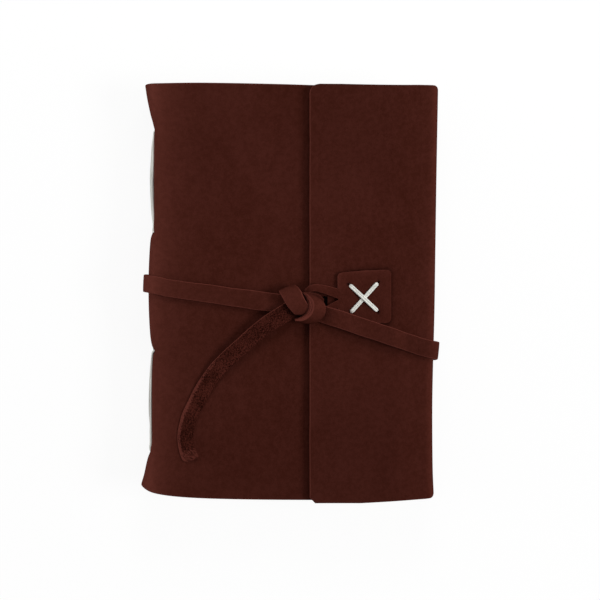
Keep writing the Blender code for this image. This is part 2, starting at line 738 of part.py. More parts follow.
def make_hinges():
    """Empties on the hinge lines: a chain up the middle of the spine leather, then the fold and the flap."""
    chain = []
    for index in range(SIGNATURES + 1):
        z = BLOCK_Z + index * PITCH - 0.5 * GAP
        name = f"hinge_signature_{index + 1}" if index < SIGNATURES else "hinge_front_cover"
        chain.append(add_empty(name, (HINGE_X, 0.0, z), chain[-1] if chain else None))
    wall = add_empty("hinge_fore_edge", (FORE_EDGE_X, 0.0, FOLD_AXIS_Z))
    flap = add_empty("hinge_flap", (FLAP_AXIS_X, 0.0, FLAP_TOP), wall)
    return chain, wall, flap


def main():
    clear_scene()
    leather = make_material("leather", (0.055, 0.012, 0.008), 0.6)
    lace = make_material("lace", (0.06, 0.013, 0.009), 0.62)
    suede = make_material("suede", (0.035, 0.009, 0.006), 0.95)
    paper = make_material("paper", (0.78, 0.74, 0.66), 0.9)
    thread = make_material("thread", (0.75, 0.75, 0.7), 0.7)
    chain, wall, flap = make_hinges()
    make_back_cover(leather)
    make_spine(leather)
    for index in range(SIGNATURES):
        make_signature(index, paper, chain[index])
        make_thread(index, thread, chain[index])
    make_front_cover(leather, chain[-1])
    make_fore_edge(leather, wall)
    make_flap(leather, flap)
    make_patch(leather, flap)
    under, over = stitch_ends()[1], stitch_ends()[0]
    make_cross_stitch("cross_stitch_under", under, 0.0, thread, flap)
    make_cross_stitch("cross_stitch_over", over, STITCH_THICKNESS + GAP, thread, flap)
    make_left_arm(lace, chain[-1])
    make_spine_run(lace)
    make_back_run(lace)
    make_fore_edge_run(lace, wall)
    make_right_arm(lace, flap)
    make_knot(lace, flap)
    make_tail(suede, flap)


main()
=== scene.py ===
"""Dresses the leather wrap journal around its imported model.

The hide, the lace, the patch, the folded paper, the sewing and the cross stitch are skins worked
out on grids: a mid surface, its outward direction and a thickness, closed by rounded cut edges.
Metres, +Z up. X runs from spine to fore-edge, Y from tail to head.
"""

from __future__ import annotations

import json
import logging
import math
from dataclasses import dataclass, field, replace
from enum import Enum
from typing import Sequence, Union

import bpy
import numpy as np
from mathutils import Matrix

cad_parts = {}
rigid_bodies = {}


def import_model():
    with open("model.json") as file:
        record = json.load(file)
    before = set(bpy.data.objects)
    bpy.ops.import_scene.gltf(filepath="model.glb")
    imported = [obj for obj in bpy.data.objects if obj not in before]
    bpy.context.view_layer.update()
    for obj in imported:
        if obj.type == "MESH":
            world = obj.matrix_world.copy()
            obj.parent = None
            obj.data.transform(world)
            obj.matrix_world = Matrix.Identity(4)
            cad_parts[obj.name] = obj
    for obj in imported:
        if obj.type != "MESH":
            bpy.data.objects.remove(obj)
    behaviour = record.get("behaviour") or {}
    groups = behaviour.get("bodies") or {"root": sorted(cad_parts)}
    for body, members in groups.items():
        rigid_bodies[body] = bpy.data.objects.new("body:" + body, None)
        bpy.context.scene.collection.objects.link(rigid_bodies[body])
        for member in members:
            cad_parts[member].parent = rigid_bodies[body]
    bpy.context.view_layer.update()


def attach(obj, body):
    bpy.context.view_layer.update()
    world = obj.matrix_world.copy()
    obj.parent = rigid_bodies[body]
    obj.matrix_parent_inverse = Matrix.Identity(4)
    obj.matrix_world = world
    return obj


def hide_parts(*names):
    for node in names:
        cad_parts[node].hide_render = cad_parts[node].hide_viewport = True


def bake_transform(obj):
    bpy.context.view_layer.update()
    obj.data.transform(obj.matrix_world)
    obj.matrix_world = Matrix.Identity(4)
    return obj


LOG = logging.getLogger("journal")

MM = 0.001
UP = np.array((0.0, 0.0, 1.0))
Point = Colour = tuple[float, float, float]
Pair = tuple[float, float]
Array = np.ndarray
Piece = bpy.types.Object
Material = bpy.types.Material
Tree = bpy.types.NodeTree
Wire = bpy.types.NodeSocket
Share = Union[float, Array]

GATHERINGS = 6
STATIONS = (79.4 * MM, 29.7 * MM, -28.2 * MM, -77.4 * MM)

# Heights of the layers, from the lace under the back upwards
GAP = 0.3 * MM
BACK_Z = 2.3 * MM
BLOCK_Z = 5.0 * MM
PITCH = 3.4 * MM
FRONT_Z = 25.4 * MM
FRONT_TOP = 27.8 * MM
FLAP_Z = 28.1 * MM
FLAP_TOP = 30.5 * MM
PATCH_Z = 30.8 * MM
PATCH_TOP = 32.8 * MM

# Fineness of curves and grids
DENSE_SAMPLES = 24
OUTLINE_SAMPLES = 400
BEND_SAMPLES = 15
CUT_ROWS = np.array((0.0, 0.25, 0.6, 1.1, 1.7, 2.5, 3.5, 4.7)) * MM
CUT_ROOM = 16.0 * MM
STRAP_STEP = 1.2 * MM
SHARP_ANGLE = math.radians(55.0)

# Unevenness: how many sines, the spread of their wavelengths, and what their sum is divided by
WAVES = 5
WAVE_SPREAD = (0.45, 1.6)
WAVE_NORM = 3.0

# Cut edges: the power of their outline, and how the face is rubbed next to them
EDGE_POWER = 3.0
EDGE_RUB = 0.3
EDGE_RUB_REACH = 0.9 * MM

# Thread: how deep the groove between its plies is, and how far its tips are drawn in
PLY_GROOVE = 0.08
TIP_SHARE = 0.6

UV_SCALE = 4.0


class Edge(Enum):
    """How a side of a skin ends: a raw cut, rounded over, or a seam against the next strip."""

    CUT = 1.0
    SEAM = 0.0


CUT, SEAM = Edge.CUT, Edge.SEAM
Edges = Sequence[Union[Edge, Array]]
ALL_CUT = (CUT,) * 4
STRIP_EDGES = (SEAM, SEAM, CUT, CUT)


class Slot(Enum):
    """The record's material slots."""

    LEATHER = "leather"
    LACE = "lace"
    SUEDE = "suede"
    PAPER = "paper"
    THREAD = "thread"


# Curves and grids


def unit(vectors: Array) -> Array:
    """Scales each vector to length one."""
    return vectors / np.maximum(np.linalg.norm(vectors, axis=-1, keepdims=True), 1e-12)


def smooth_step(value: Array) -> Array:
    """Rises from 0 to 1 as 3t^2 - 2t^3, and stays there outside."""
    value = np.clip(value, 0.0, 1.0)
    return value * value * (3.0 - 2.0 * value)


@dataclass(frozen=True)
class Ramp:
    """A smooth change along a line: where it starts, how long it is and how far it goes."""

    start: float
    reach: float
    depth: float = 1.0

    def up(self, place: Array) -> Array:
        """Rises from 0 at the start to the depth, a reach further on."""
        return self.depth * smooth_step((place - self.start) / self.reach)

    def down(self, place: Array) -> Array:
        """Falls from the depth to 0 at the start, which is a reach further on."""
        return self.depth * smooth_step((self.start - place) / self.reach)

    def decay(self, place: Array) -> Array:
        """Dies away as depth * exp(-t), with t in reaches from the start."""
        return self.depth * np.exp((self.start - place) / self.reach)


def curve_through(points: Sequence[Sequence[float]], samples: int) -> Array:
    """Catmull-Rom curve through the points, sampled at even arc length.

    Args:
        points: Where the curve goes through.
        samples: How many points come back.

    Returns:
        An array of samples rows.
    """
    given = np.asarray(points, float)
    padded = np.vstack([2 * given[0] - given[1], given, 2 * given[-1] - given[-2]])
    values = np.linspace(0.0, len(given) - 1.0, DENSE_SAMPLES * len(given))
    index = np.minimum(values.astype(int), len(given) - 2)
    t = (values - index)[:, None]
    p0, p1, p2, p3 = (padded[index + k] for k in range(4))
    cubic = -p0 + 3.0 * p1 - 3.0 * p2 + p3
    square = 2.0 * p0 - 5.0 * p1 + 4.0 * p2 - p3
    dense = 0.5 * (2.0 * p1 + (p2 - p0) * t + square * t**2 + cubic * t**3)
    return resample(dense, samples)


def arc_length(path: Array) -> Array:
    """Length along a path from its start to each point."""
    return np.cumsum(np.linalg.norm(np.diff(path, axis=0, prepend=path[:1]), axis=1))


def resample(path: Array, samples: int) -> Array:
    """The same path at even arc length."""
    along = arc_length(path)
    even = np.linspace(0.0, along[-1], samples)
    return joined(*(np.interp(even, along, column) for column in path.T))


def outline_at(outline: Sequence[Pair], y: Array) -> Array:
    """X of a smooth curve at each Y; the outline has Y and X in millimetres, from head to tail."""
    curve = curve_through(outline, OUTLINE_SAMPLES)[::-1] * MM
    return np.interp(y, curve[:, 0], curve[:, 1])


def spaced(length: float, step: float, low: Edge, high: Edge) -> Array:
    """Distances from 0 to length in even steps, closer near an end that is a cut edge.

    Args:
        length: The whole distance.
        step: The even step between the ends.
        low: How the first end closes.
        high: How the last end closes.

    Returns:
        Growing distances, the first 0 and the last length.
    """
    fine = CUT_ROWS * min(1.0, length / CUT_ROOM)
    start = fine if low is CUT else fine[:1]
    end = length - (fine if high is CUT else fine[:1])[::-1]
    count = max(2, int(round((end[0] - start[-1]) / step)) + 1)
    return np.concatenate([start, np.linspace(start[-1], end[0], count)[1:-1], end])


def wander(value: Array, wavelength: float, seed: int) -> Array:
    """Slow unevenness between about -1 and 1: a sum of sines drawn from a seed.

    Args:
        value: Places along a line.
        wavelength: About how long the waves are.
        seed: Draws their lengths and phases.

    Returns:
        The unevenness at each place.
    """
    draw = np.random.default_rng(seed)
    lengths = wavelength * draw.uniform(*WAVE_SPREAD, WAVES)
    phases = draw.uniform(0.0, 2.0 * math.pi, WAVES)
    waves = np.sin(2.0 * math.pi * value[..., None] / lengths + phases)
    return waves.sum(axis=-1) / WAVE_NORM


def joined(*values: Share) -> Array:
    """Joins values to rows, such as points, after spreading them to one common shape."""
    return np.stack(np.broadcast_arrays(*values), axis=-1)


def rounded(radius: float, reach: Array) -> Array:
    """How far a rounded corner falls back, r - sqrt(r^2 - d^2), with d between 0 and r."""
    reach = np.clip(reach, 0.0, radius)
    return radius - np.sqrt(radius**2 - reach**2)


def facing_of(grid: Array) -> Array:
    """Unit normals of a grid surface, the cross product of its two gradients."""
    return unit(np.cross(np.gradient(grid, axis=0), np.gradient(grid, axis=1)))


def grid_quads(cell: Array) -> Array:
    """The quads of a grid of point numbers, one row of four corners each."""
    return joined(cell[:-1, :-1], cell[1:, :-1], cell[1:, 1:], cell[:-1, 1:]).reshape(-1, 4)


def border_walk(rows: int, columns: int) -> tuple[Array, Array]:
    """Row and column numbers of a grid's border points, once round from its first corner."""
    down, over = np.arange(rows - 1), np.arange(columns - 1)
    i = np.concatenate([down, 0 * over + rows - 1, rows - 1 - down, 0 * over])
    j = np.concatenate([0 * down, over, 0 * down + columns - 1, columns - 1 - over])
    return i, j


@dataclass
class Shell:
    """A closed skin: its points, its quads, its end caps and a few values for each point."""

    points: Array
    quads: Array
    rim: Array
    flesh: Array
    # Darkness: stitch holes, and painted shade
    hole: Array
    # Paleness: wear, and painted light on the bends and the knot's band
    wear_and_light: Array
    uv: Array
    caps: list[tuple[int, ...]] = field(default_factory=list)


def edge_distance(grid: Array, cuts: Sequence[Share]) -> Array:
    """How far each grid point lies from the nearest cut side, measured along the grid lines.

    Args:
        grid: The mid surface, rows by columns by 3.
        cuts: The share of cut of the sides low row, high row, low column and high column.

    Returns:
        Distances, rows by columns, 1 m where no side is cut.
    """
    down = np.cumsum(np.linalg.norm(np.diff(grid, axis=0, prepend=grid[:1]), axis=2), axis=0)
    over = np.cumsum(np.linalg.norm(np.diff(grid, axis=1, prepend=grid[:, :1]), axis=2), axis=1)
    sides = (down, down[-1:] - down, over, over[:, -1:] - over)
    shapes = ((1, -1), (1, -1), (-1, 1), (-1, 1))
    far = np.ones(grid.shape[:2])
    for distance, cut, shape in zip(sides, cuts, shapes):
        far = np.minimum(far, distance + (1.0 - np.reshape(cut, shape)))
    return far


def outward_of(grid: Array, cuts: Sequence[Share]) -> Array:
    """Directions out of a grid's cut sides.

    Args:
        grid: The mid surface, rows by columns by 3.
        cuts: The share of cut of each side, in the order of edge_distance.

    Returns:
        A direction for each point, as long as its share of cut, and zero inside the grid.
    """
    low_row, high_row, low_column, high_column = (np.reshape(cut, (-1, 1)) for cut in cuts)
    out = np.zeros_like(grid)
    out[0] += unit(grid[0] - grid[1]) * low_row
    out[-1] += unit(grid[-1] - grid[-2]) * high_row
    out[:, 0] += unit(grid[:, 0] - grid[:, 1]) * low_column
    out[:, -1] += unit(grid[:, -1] - grid[:, -2]) * high_column
    return out


def slab(
    middle: Array,
    facing: Array,
    thickness: Share,
    edges: Edges = ALL_CUT,
    rounding: float = 0.5 * MM,
    steps: int = 6,
    hole: Array | None = None,
) -> Shell:
    """A sheet of even thickness with its sides closed.

    The two faces lie half the thickness to either side of the mid surface. A cut side bulges out
    from the grid's border by a superellipse, |out / rounding|^3 + |up / half|^3 = 1, and a seam
    goes straight down.

    Args:
        middle: Mid surface, rows by columns by 3.
        facing: Unit directions to the grain side.
        thickness: Thickness of the sheet, one number or one for each point.
        edges: Low row, high row, low column and high column; an array gives shares of cut.
        rounding: How far a cut edge stands out from the grid's border.
        steps: Rings on the edge.
        hole: Darkness of a stitch hole or of painted shade for each point.

    Returns:
        The closed skin, with no paling yet.
    """
    rows, columns = middle.shape[:2]
    cuts = [e.value if isinstance(e, Edge) else e for e in edges]
    half = 0.5 * np.broadcast_to(thickness, (rows, columns))[..., None]
    out = outward_of(middle, cuts)
    i, j = border_walk(rows, columns)
    turn = np.linspace(0.5 * math.pi, -0.5 * math.pi, steps + 2)[1:-1]
    power = 2.0 / EDGE_POWER
    outward = (np.abs(np.cos(turn)) ** power)[:, None, None]
    upward = (np.sign(np.sin(turn)) * np.abs(np.sin(turn)) ** power)[:, None, None]
    rings = middle[i, j] + out[i, j] * rounding * outward + facing[i, j] * half[i, j] * upward
    parts = (middle + facing * half, middle - facing * half, rings)
    points = np.concatenate([part.reshape(-1, 3) for part in parts])
    size, loop = rows * columns, len(i)
    cell = np.arange(size).reshape(rows, columns)
    quad = grid_quads(cell)
    border = cell[i, j]
    ring_cells = 2 * size + np.arange(steps * loop).reshape(steps, loop)
    levels = np.concatenate([[border], ring_cells, [border + size]])
    after = np.roll(levels, -1, axis=1)
    wall = joined(levels[:-1], levels[1:], after[1:], after[:-1]).reshape(-1, 4)
    quads = np.concatenate([quad, quad[:, ::-1] + size, wall])
    if np.sum(facing_of(middle) * facing) < 0.0:
        quads = quads[:, ::-1]
    near = EDGE_RUB * np.exp(-edge_distance(middle, cuts) / EDGE_RUB_REACH).ravel()
    side = np.clip(np.linalg.norm(out[i, j], axis=1), 0.0, 1.0)
    rim = np.concatenate([near, near, np.tile(side, steps)])
    down = np.repeat(0.5 - 0.5 * upward.ravel(), loop)
    flesh = np.concatenate([np.zeros(size), np.ones(size), down])
    dark = np.zeros(len(points))
    if hole is not None:
        dark[:size] = hole.ravel()
    along = np.cumsum(np.linalg.norm(np.gradient(middle, axis=0), axis=2), axis=0)
    across = np.cumsum(np.linalg.norm(np.gradient(middle, axis=1), axis=2), axis=1)
    flat = joined(along, across).reshape(-1, 2)
    uv = np.concatenate([flat, flat, np.tile(flat[border], (steps, 1))])
    return Shell(points, quads, rim, flesh, dark, np.zeros(len(points)), uv)


def twisted(path: Array, square: Array, radius: float, pitch: float, sides: int = 8) -> Shell:
    """A two-ply thread: a section with two lobes that turn once in each pitch, along a path.

    At an angle a and a length s the radius is radius * (0.92 + 0.08 |cos(a - 2 pi s / pitch)|).

    Args:
        path: The centreline.
        square: A direction that is never along the path.
        radius: The thread's outer radius.
        pitch: Length of one turn of the twist.
        sides: Points round the section.

    Returns:
        The closed skin, with a cap on each end.
    """
    tangent = unit(np.gradient(path, axis=0))
    across = unit(np.cross(square, tangent))
    up = np.cross(tangent, across)
    length = arc_length(path)
    angle = 2.0 * math.pi * np.arange(sides) / sides
    turn = angle[None, :] - 2.0 * math.pi * length[:, None] / pitch
    reach = radius * (1.0 - PLY_GROOVE + PLY_GROOVE * np.abs(np.cos(turn)))
    reach[[0, -1]] *= TIP_SHARE
    cosine, sine = np.cos(angle)[None, :, None], np.sin(angle)[None, :, None]
    ring = across[:, None] * cosine + up[:, None] * sine
    points = (path[:, None] + ring * reach[..., None]).reshape(-1, 3)
    cell = np.arange(len(path) * sides).reshape(-1, sides)
    after = np.roll(cell, -1, axis=1)
    quads = joined(cell[:-1], after[:-1], after[1:], cell[1:]).reshape(-1, 4)
    zero = np.zeros(len(points))
    uv = joined(length[:, None], angle * radius).reshape(-1, 2)
    caps = [tuple(int(k) for k in cell[0, ::-1]), tuple(int(k) for k in cell[-1])]
    return Shell(points, quads, zero, zero, zero, zero, uv, caps)


# Finishes


class Graph:
    """Adds and joins nodes in one node tree."""

    def __init__(self, tree: Tree) -> None:
        """Keeps the tree."""
        self.tree = tree

    def node(self, kind: str, inputs: dict | None = None, **settings: object) -> bpy.types.Node:
        """Adds a node.

        Args:
            kind: Its type without the ShaderNode prefix, or a group end's whole type.
            inputs: Values or sockets for its named or numbered inputs.
            settings: Properties of the node.

        Returns:
            The new node.
        """
        full = kind if kind.startswith("NodeGroup") else "ShaderNode" + kind
        made = self.tree.nodes.new(full)
        for name, value in settings.items():
            setattr(made, name, value)
        for name, value in (inputs or {}).items():
            self.feed(made.inputs[name], value)
        return made

    def feed(self, socket: Wire, value: object) -> None:
        """Links a socket to an input, or sets the input's value.

        Args:
            socket: The input.
            value: A socket, a number, a vector or a colour.
        """
        if isinstance(value, Wire):
            self.tree.links.new(value, socket)
        elif isinstance(value, tuple) and len(value) == 3 and socket.type == "RGBA":
            socket.default_value = (*value, 1.0)
        else:
            socket.default_value = value

    def group(self, tree: Tree, *values: object) -> bpy.types.NodeOutputs:
        """The outputs of a group node that is given values or sockets in the group's own order."""
        return self.node("Group", dict(enumerate(values)), node_tree=tree).outputs

    def math(self, operation: str, first: object, second: object) -> Wire:
        """Joins two numbers by a Math node."""
        return self.node("Math", {0: first, 1: second}, operation=operation).outputs[0]

    def times(self, first: object, second: object) -> Wire:
        """The product of two numbers."""
        return self.math("MULTIPLY", first, second)

    def weighted(self, *parts: tuple[object, float]) -> Wire:
        """The sum of numbers, each times its weight."""
        total, *rest = (self.times(value, weight) for value, weight in parts)
        for part in rest:
            total = self.math("ADD", total, part)
        return total

    def between(self, value: object, low: float, high: float) -> Wire:
        """Maps low to 0 and high to 1, with a smooth rise."""
        made = self.node("MapRange", {"Value": value, "From Min": low, "From Max": high})
        made.interpolation_type = "SMOOTHSTEP"
        return made.outputs["Result"]

    def mix(self, share: object, first: object, second: object, blend: str = "MIX") -> Wire:
        """Mixes two colours by a share; a Mix node keeps its colours at inputs 6 and 7."""
        inputs = {0: share, 6: first, 7: second}
        return self.node("Mix", inputs, data_type="RGBA", blend_type=blend).outputs[2]

    def blend(self, share: object, first: object, second: object) -> Wire:
        """Mixes two numbers by a share; a Mix node keeps its numbers at inputs 2 and 3."""
        return self.node("Mix", {0: share, 2: first, 3: second}, data_type="FLOAT").outputs[0]

    def noise(self, vector: Wire, scale: object, detail: float, roughness: float = 0.55) -> Wire:
        """Noise between 0 and 1 at a scale in cells per metre."""
        inputs = {"Vector": vector, "Scale": scale, "Detail": detail, "Roughness": roughness}
        return self.node("TexNoise", inputs).outputs["Fac"]

    def stretched(self, vector: object, scale: Point) -> Wire:
        """The coordinates, scaled by a Mapping node."""
        return self.node("Mapping", {"Vector": vector, "Scale": scale}).outputs["Vector"]

    def value(self, name: str) -> Wire:
        """A point value of the piece, by its name."""
        return self.node("Attribute", attribute_name=name).outputs["Fac"]


class Socket(Enum):
    """Kinds of socket on a node group."""

    VECTOR = "NodeSocketVector"
    COLOUR = "NodeSocketColor"
    NUMBER = "NodeSocketFloat"


Sockets = dict[str, Socket]
TONED = {"Vector": Socket.VECTOR, "Light": Socket.COLOUR, "Dark": Socket.COLOUR}


def new_group(
    name: str, inputs: Sockets, outputs: Sockets
) -> tuple[Graph, bpy.types.NodeOutputs, bpy.types.NodeInputs]:
    """An empty shader node group with named sockets.

    Args:
        name: The group's name.
        inputs: Kinds of socket by input name.
        outputs: Kinds of socket by output name.

    Returns:
        A graph on the group's tree, what the group is given, and what it has to fill.
    """
    tree = bpy.data.node_groups.new(name, "ShaderNodeTree")
    for side, sockets in (("INPUT", inputs), ("OUTPUT", outputs)):
        for socket, kind in sockets.items():
            tree.interface.new_socket(socket, in_out=side, socket_type=kind.value)
    graph = Graph(tree)
    given, filled = graph.node("NodeGroupInput"), graph.node("NodeGroupOutput")
    return graph, given.outputs, filled.inputs


def new_material(name: str) -> tuple[Material, Graph, bpy.types.Node]:
    """An empty material, a graph on its tree, and its Principled shader."""
    made = bpy.data.materials.new(name)
    made.use_nodes = True
    return made, Graph(made.node_tree), made.node_tree.nodes["Principled BSDF"]


def hide_grain() -> Tree:
    """Oiled grain: cloudy pull-up, dusting, drag marks, fine flecks, pores and crease lines.

    Scales are shares of the pore scale; tone, height and roughness are weighted sums.

    Returns:
        The group's tree.
    """
    g, given, filled = new_group(
        "hide_grain",
        {**TONED, "Cloud Scale": Socket.NUMBER, "Pore Scale": Socket.NUMBER},
        {"Color": Socket.COLOUR, "Roughness": Socket.NUMBER, "Height": Socket.NUMBER},
    )
    vector, pore = given["Vector"], given["Pore Scale"]
    cloud = g.noise(vector, given["Cloud Scale"], detail=4.0, roughness=0.5)
    cloud = g.between(cloud, 0.3, 0.72)
    dust = g.noise(vector, g.times(pore, 0.42), detail=4.0, roughness=0.7)
    drawn = g.stretched(vector, (1.0, 0.5, 1.0))
    drag = g.noise(drawn, g.times(pore, 0.15), detail=3.0)
    fleck = g.noise(vector, g.times(pore, 1.9), detail=2.0, roughness=0.6)
    tone = g.weighted(
        (cloud, 0.34),
        (g.between(dust, 0.37, 0.63), 0.46),
        (g.between(drag, 0.32, 0.68), 0.22),
        (g.math("SUBTRACT", fleck, 0.5), 1.5),
    )
    pores = g.node("TexVoronoi", {"Vector": vector, "Scale": pore, "Randomness": 1.0})
    pit = g.between(pores.outputs["Distance"], 0.02, 0.42)
    drawn = g.stretched(vector, (1.0, 0.55, 1.0))
    cells = {"Vector": drawn, "Scale": g.times(pore, 0.3), "Randomness": 1.0}
    crease = g.node("TexVoronoi", cells, feature="DISTANCE_TO_EDGE")
    line = g.between(crease.outputs["Distance"], 0.0, 0.12)
    height = g.weighted((pit, 0.45), (line, 0.35), (dust, 0.5))
    rough = g.weighted((dust, 0.22), (cloud, -0.06))
    g.feed(filled["Color"], g.mix(tone, given["Dark"], given["Light"]))
    g.feed(filled["Roughness"], g.math("ADD", rough, 0.52))
    g.feed(filled["Height"], height)
    return g.tree


def flesh_nap() -> Tree:
    """The hide's flesh side: short matted fibres in dark and light tufts.

    Returns:
        The group's tree.
    """
    g, given, filled = new_group(
        "flesh_nap",
        {**TONED, "Tuft Scale": Socket.NUMBER},
        {"Color": Socket.COLOUR, "Height": Socket.NUMBER},
    )
    vector, scale = given["Vector"], given["Tuft Scale"]
    tuft = g.noise(vector, scale, detail=2.0, roughness=0.6)
    drawn = g.stretched(vector, (1.0, 0.45, 1.0))
    hair = g.noise(drawn, g.times(scale, 2.2), detail=2.0, roughness=0.6)
    drift = g.noise(vector, g.times(scale, 0.09), detail=2.0, roughness=0.5)
    body = g.weighted((tuft, 0.33), (hair, 0.45), (drift, 0.22))
    tone = g.between(body, 0.4, 0.6)
    g.feed(filled["Color"], g.mix(tone, given["Dark"], given["Light"]))
    g.feed(filled["Height"], body)
    return g.tree


def cut_edge() -> Tree:
    """Raw cut edges: the rim's mask, broken up by noise, lays a paler colour on the finish.

    Returns:
        The group's tree.
    """
    g, given, filled = new_group(
        "cut_edge",
        {
            "Vector": Socket.VECTOR,
            "Rim": Socket.NUMBER,
            "Color": Socket.COLOUR,
            "Edge Color": Socket.COLOUR,
        },
        {"Color": Socket.COLOUR, "Mask": Socket.NUMBER},
    )
    vector, plain, pale = given["Vector"], given["Color"], given["Edge Color"]
    broken = g.times(g.noise(vector, 1500.0, detail=3.0, roughness=0.7), 0.5)
    mask = g.math("ADD", given["Rim"], g.math("SUBTRACT", broken, 0.25))
    mask = g.between(mask, 0.2, 1.0)
    speck = g.between(g.noise(vector, 1900.0, detail=2.0, roughness=0.6), 0.52, 0.66)
    raw = g.mix(g.times(speck, 0.6), pale, plain, "MULTIPLY")
    raw = g.mix(g.times(speck, 0.3), pale, raw)
    g.feed(filled["Color"], g.mix(mask, plain, raw))
    g.feed(filled["Mask"], mask)
    return g.tree


def fine_fibre() -> Tree:
    """Pale fibre for paper and thread: faint tone and a fine tooth.

    Returns:
        The group's tree.
    """
    g, given, filled = new_group(
        "fine_fibre",
        {**TONED, "Fibre Scale": Socket.NUMBER},
        {"Color": Socket.COLOUR, "Height": Socket.NUMBER},
    )
    vector, scale = given["Vector"], given["Fibre Scale"]
    tooth = g.noise(vector, scale, detail=4.0, roughness=0.65)
    tone = g.noise(vector, g.times(scale, 0.06), detail=3.0)
    share = g.between(g.weighted((tooth, 0.6), (tone, 0.4)), 0.35, 0.62)
    g.feed(filled["Color"], g.mix(share, given["Dark"], given["Light"]))
    g.feed(filled["Height"], tooth)
    return g.tree


@dataclass(frozen=True)
class Effects:
    """The shader node groups that several finishes share, each built once."""

    grain: Tree = field(default_factory=hide_grain)
    nap: Tree = field(default_factory=flesh_nap)
    edge: Tree = field(default_factory=cut_edge)
    fibre: Tree = field(default_factory=fine_fibre)


@dataclass(frozen=True)
class LeatherFinish:
    """Oiled leather with a grain side, a flesh side and raw edges."""

    name: str
    light: Colour
    dark: Colour
    edge: Colour
    nap_light: Colour
    nap_dark: Colour
    cloud_scale: float = 26.0
    pore_scale: float = 1150.0
    tuft_scale: float = 620.0
    rub_scale: float = 480.0
    nap_roughness: float = 0.95
    nap_relief: float = 2.6
    specular: float = 0.0
    relief: float = 0.35
    relief_depth: float = 0.35 * MM
    shade: Colour = (0.002, 0.001, 0.001)
    nap_follows_strap: bool = False

    def nap_vector(self, g: Graph, place: Wire) -> Wire:
        """Coordinates of the nap: the piece's own length and width, or its place."""
        if self.nap_follows_strap:
            lengths = g.node("UVMap", uv_map="UVMap").outputs["UV"]
            return g.stretched(lengths, (1.0 / UV_SCALE,) * 3)
        return place

    def rubbed(self, g: Graph, place: Wire, nap: Wire) -> Wire:
        """Share of the paler colour, from wear and from painted light, broken up by noise or by its
        nap.

        Args:
            g: The material's graph.
            place: The piece's coordinates.
            nap: Height of the nap.

        Returns:
            The share, 0 to 1.
        """
        wear_and_light = g.value("wear_and_light")
        if self.nap_follows_strap:
            stray = g.times(g.math("SUBTRACT", nap, 0.5), 3.0)
            return g.times(g.between(g.math("ADD", wear_and_light, stray), 0.25, 0.8), 0.9)
        patchy = g.between(g.noise(place, self.rub_scale, detail=4.0, roughness=0.7), 0.1, 0.75)
        return g.times(wear_and_light, g.blend(patchy, 0.6, 1.1))

    def material(self, effects: Effects) -> Material:
        """Builds the material: grain above, nap below, paler cut edges, paling that is partly
        painted light, dark stitch holes and painted shade.

        Args:
            effects: The shared node groups.

        Returns:
            The material.
        """
        made, g, shader = new_material(self.name)
        vector = g.node("TexCoord").outputs["Object"]
        flesh = g.between(g.value("flesh"), 0.35, 0.65)
        scales = (self.cloud_scale, self.pore_scale)
        grain = g.group(effects.grain, vector, self.light, self.dark, *scales)
        along = self.nap_vector(g, vector)
        nap = g.group(effects.nap, along, self.nap_light, self.nap_dark, self.tuft_scale)
        face = g.mix(flesh, grain["Color"], nap["Color"])
        face = g.mix(self.rubbed(g, vector, nap["Height"]), face, self.edge)
        edge = g.group(effects.edge, vector, g.value("rim"), face, self.edge)
        raw = g.math("MAXIMUM", flesh, edge["Mask"])
        height = g.blend(raw, grain["Height"], g.times(nap["Height"], self.nap_relief))
        bump = g.node("Bump", {"Strength": self.relief, "Distance": self.relief_depth})
        g.feed(bump.inputs["Height"], height)
        g.feed(shader.inputs["Base Color"], g.mix(g.value("hole"), edge["Color"], self.shade))
        g.feed(shader.inputs["Roughness"], g.blend(raw, grain["Roughness"], self.nap_roughness))
        g.feed(shader.inputs["Normal"], bump.outputs["Normal"])
        g.feed(shader.inputs["Specular IOR Level"], self.specular)
        return made


@dataclass(frozen=True)
class FibreFinish:
    """Paper or thread: pale fibre with a fine tooth."""

    name: str
    light: Colour
    dark: Colour
    fibre_scale: float
    roughness: float
    relief: float
    relief_depth: float = 0.2 * MM
    specular: float = 0.3

    def material(self, effects: Effects) -> Material:
        """Builds the material.

        Args:
            effects: The shared node groups.

        Returns:
            The material.
        """
        made, g, shader = new_material(self.name)
        vector = g.node("TexCoord").outputs["Object"]
        fibre = g.group(effects.fibre, vector, self.light, self.dark, self.fibre_scale)
        bump = g.node("Bump", {"Strength": self.relief, "Distance": self.relief_depth})
        g.feed(bump.inputs["Height"], fibre["Height"])
        g.feed(shader.inputs["Base Color"], fibre["Color"])
        g.feed(shader.inputs["Normal"], bump.outputs["Normal"])
        g.feed(shader.inputs["Roughness"], self.roughness)
        g.feed(shader.inputs["Specular IOR Level"], self.specular)
        return made


COVER_LEATHER = LeatherFinish(
    "cover_leather",
    light=(0.073, 0.0177, 0.0123),
    dark=(0.049, 0.0107, 0.0066),
    edge=(0.128, 0.0330, 0.0238),
    nap_light=(0.085, 0.0210, 0.0145),
    nap_dark=(0.030, 0.0068, 0.0044),
)
LACE_LEATHER = LeatherFinish(
    "lace_leather",
    light=(0.078, 0.0189, 0.0132),
    dark=(0.053, 0.0120, 0.0076),
    edge=(0.150, 0.0385, 0.0280),
    nap_light=(0.150, 0.0385, 0.0280),
    nap_dark=(0.060, 0.0140, 0.0095),
    cloud_scale=60.0,
)
PATCH_LEATHER = replace(
    COVER_LEATHER,
    name="patch_leather",
    light=(0.070, 0.0166, 0.0115),
    dark=(0.051, 0.0112, 0.0070),
    edge=(0.112, 0.0285, 0.0203),
    cloud_scale=70.0,
)
TAIL_SUEDE = replace(
    COVER_LEATHER,
    name="tail_suede",
    edge=(0.145, 0.0372, 0.0270),
    nap_light=(0.082, 0.0190, 0.0129),
    nap_dark=(0.012, 0.0025, 0.0015),
    tuft_scale=1350.0,
    relief=0.6,
    nap_follows_strap=True,
)
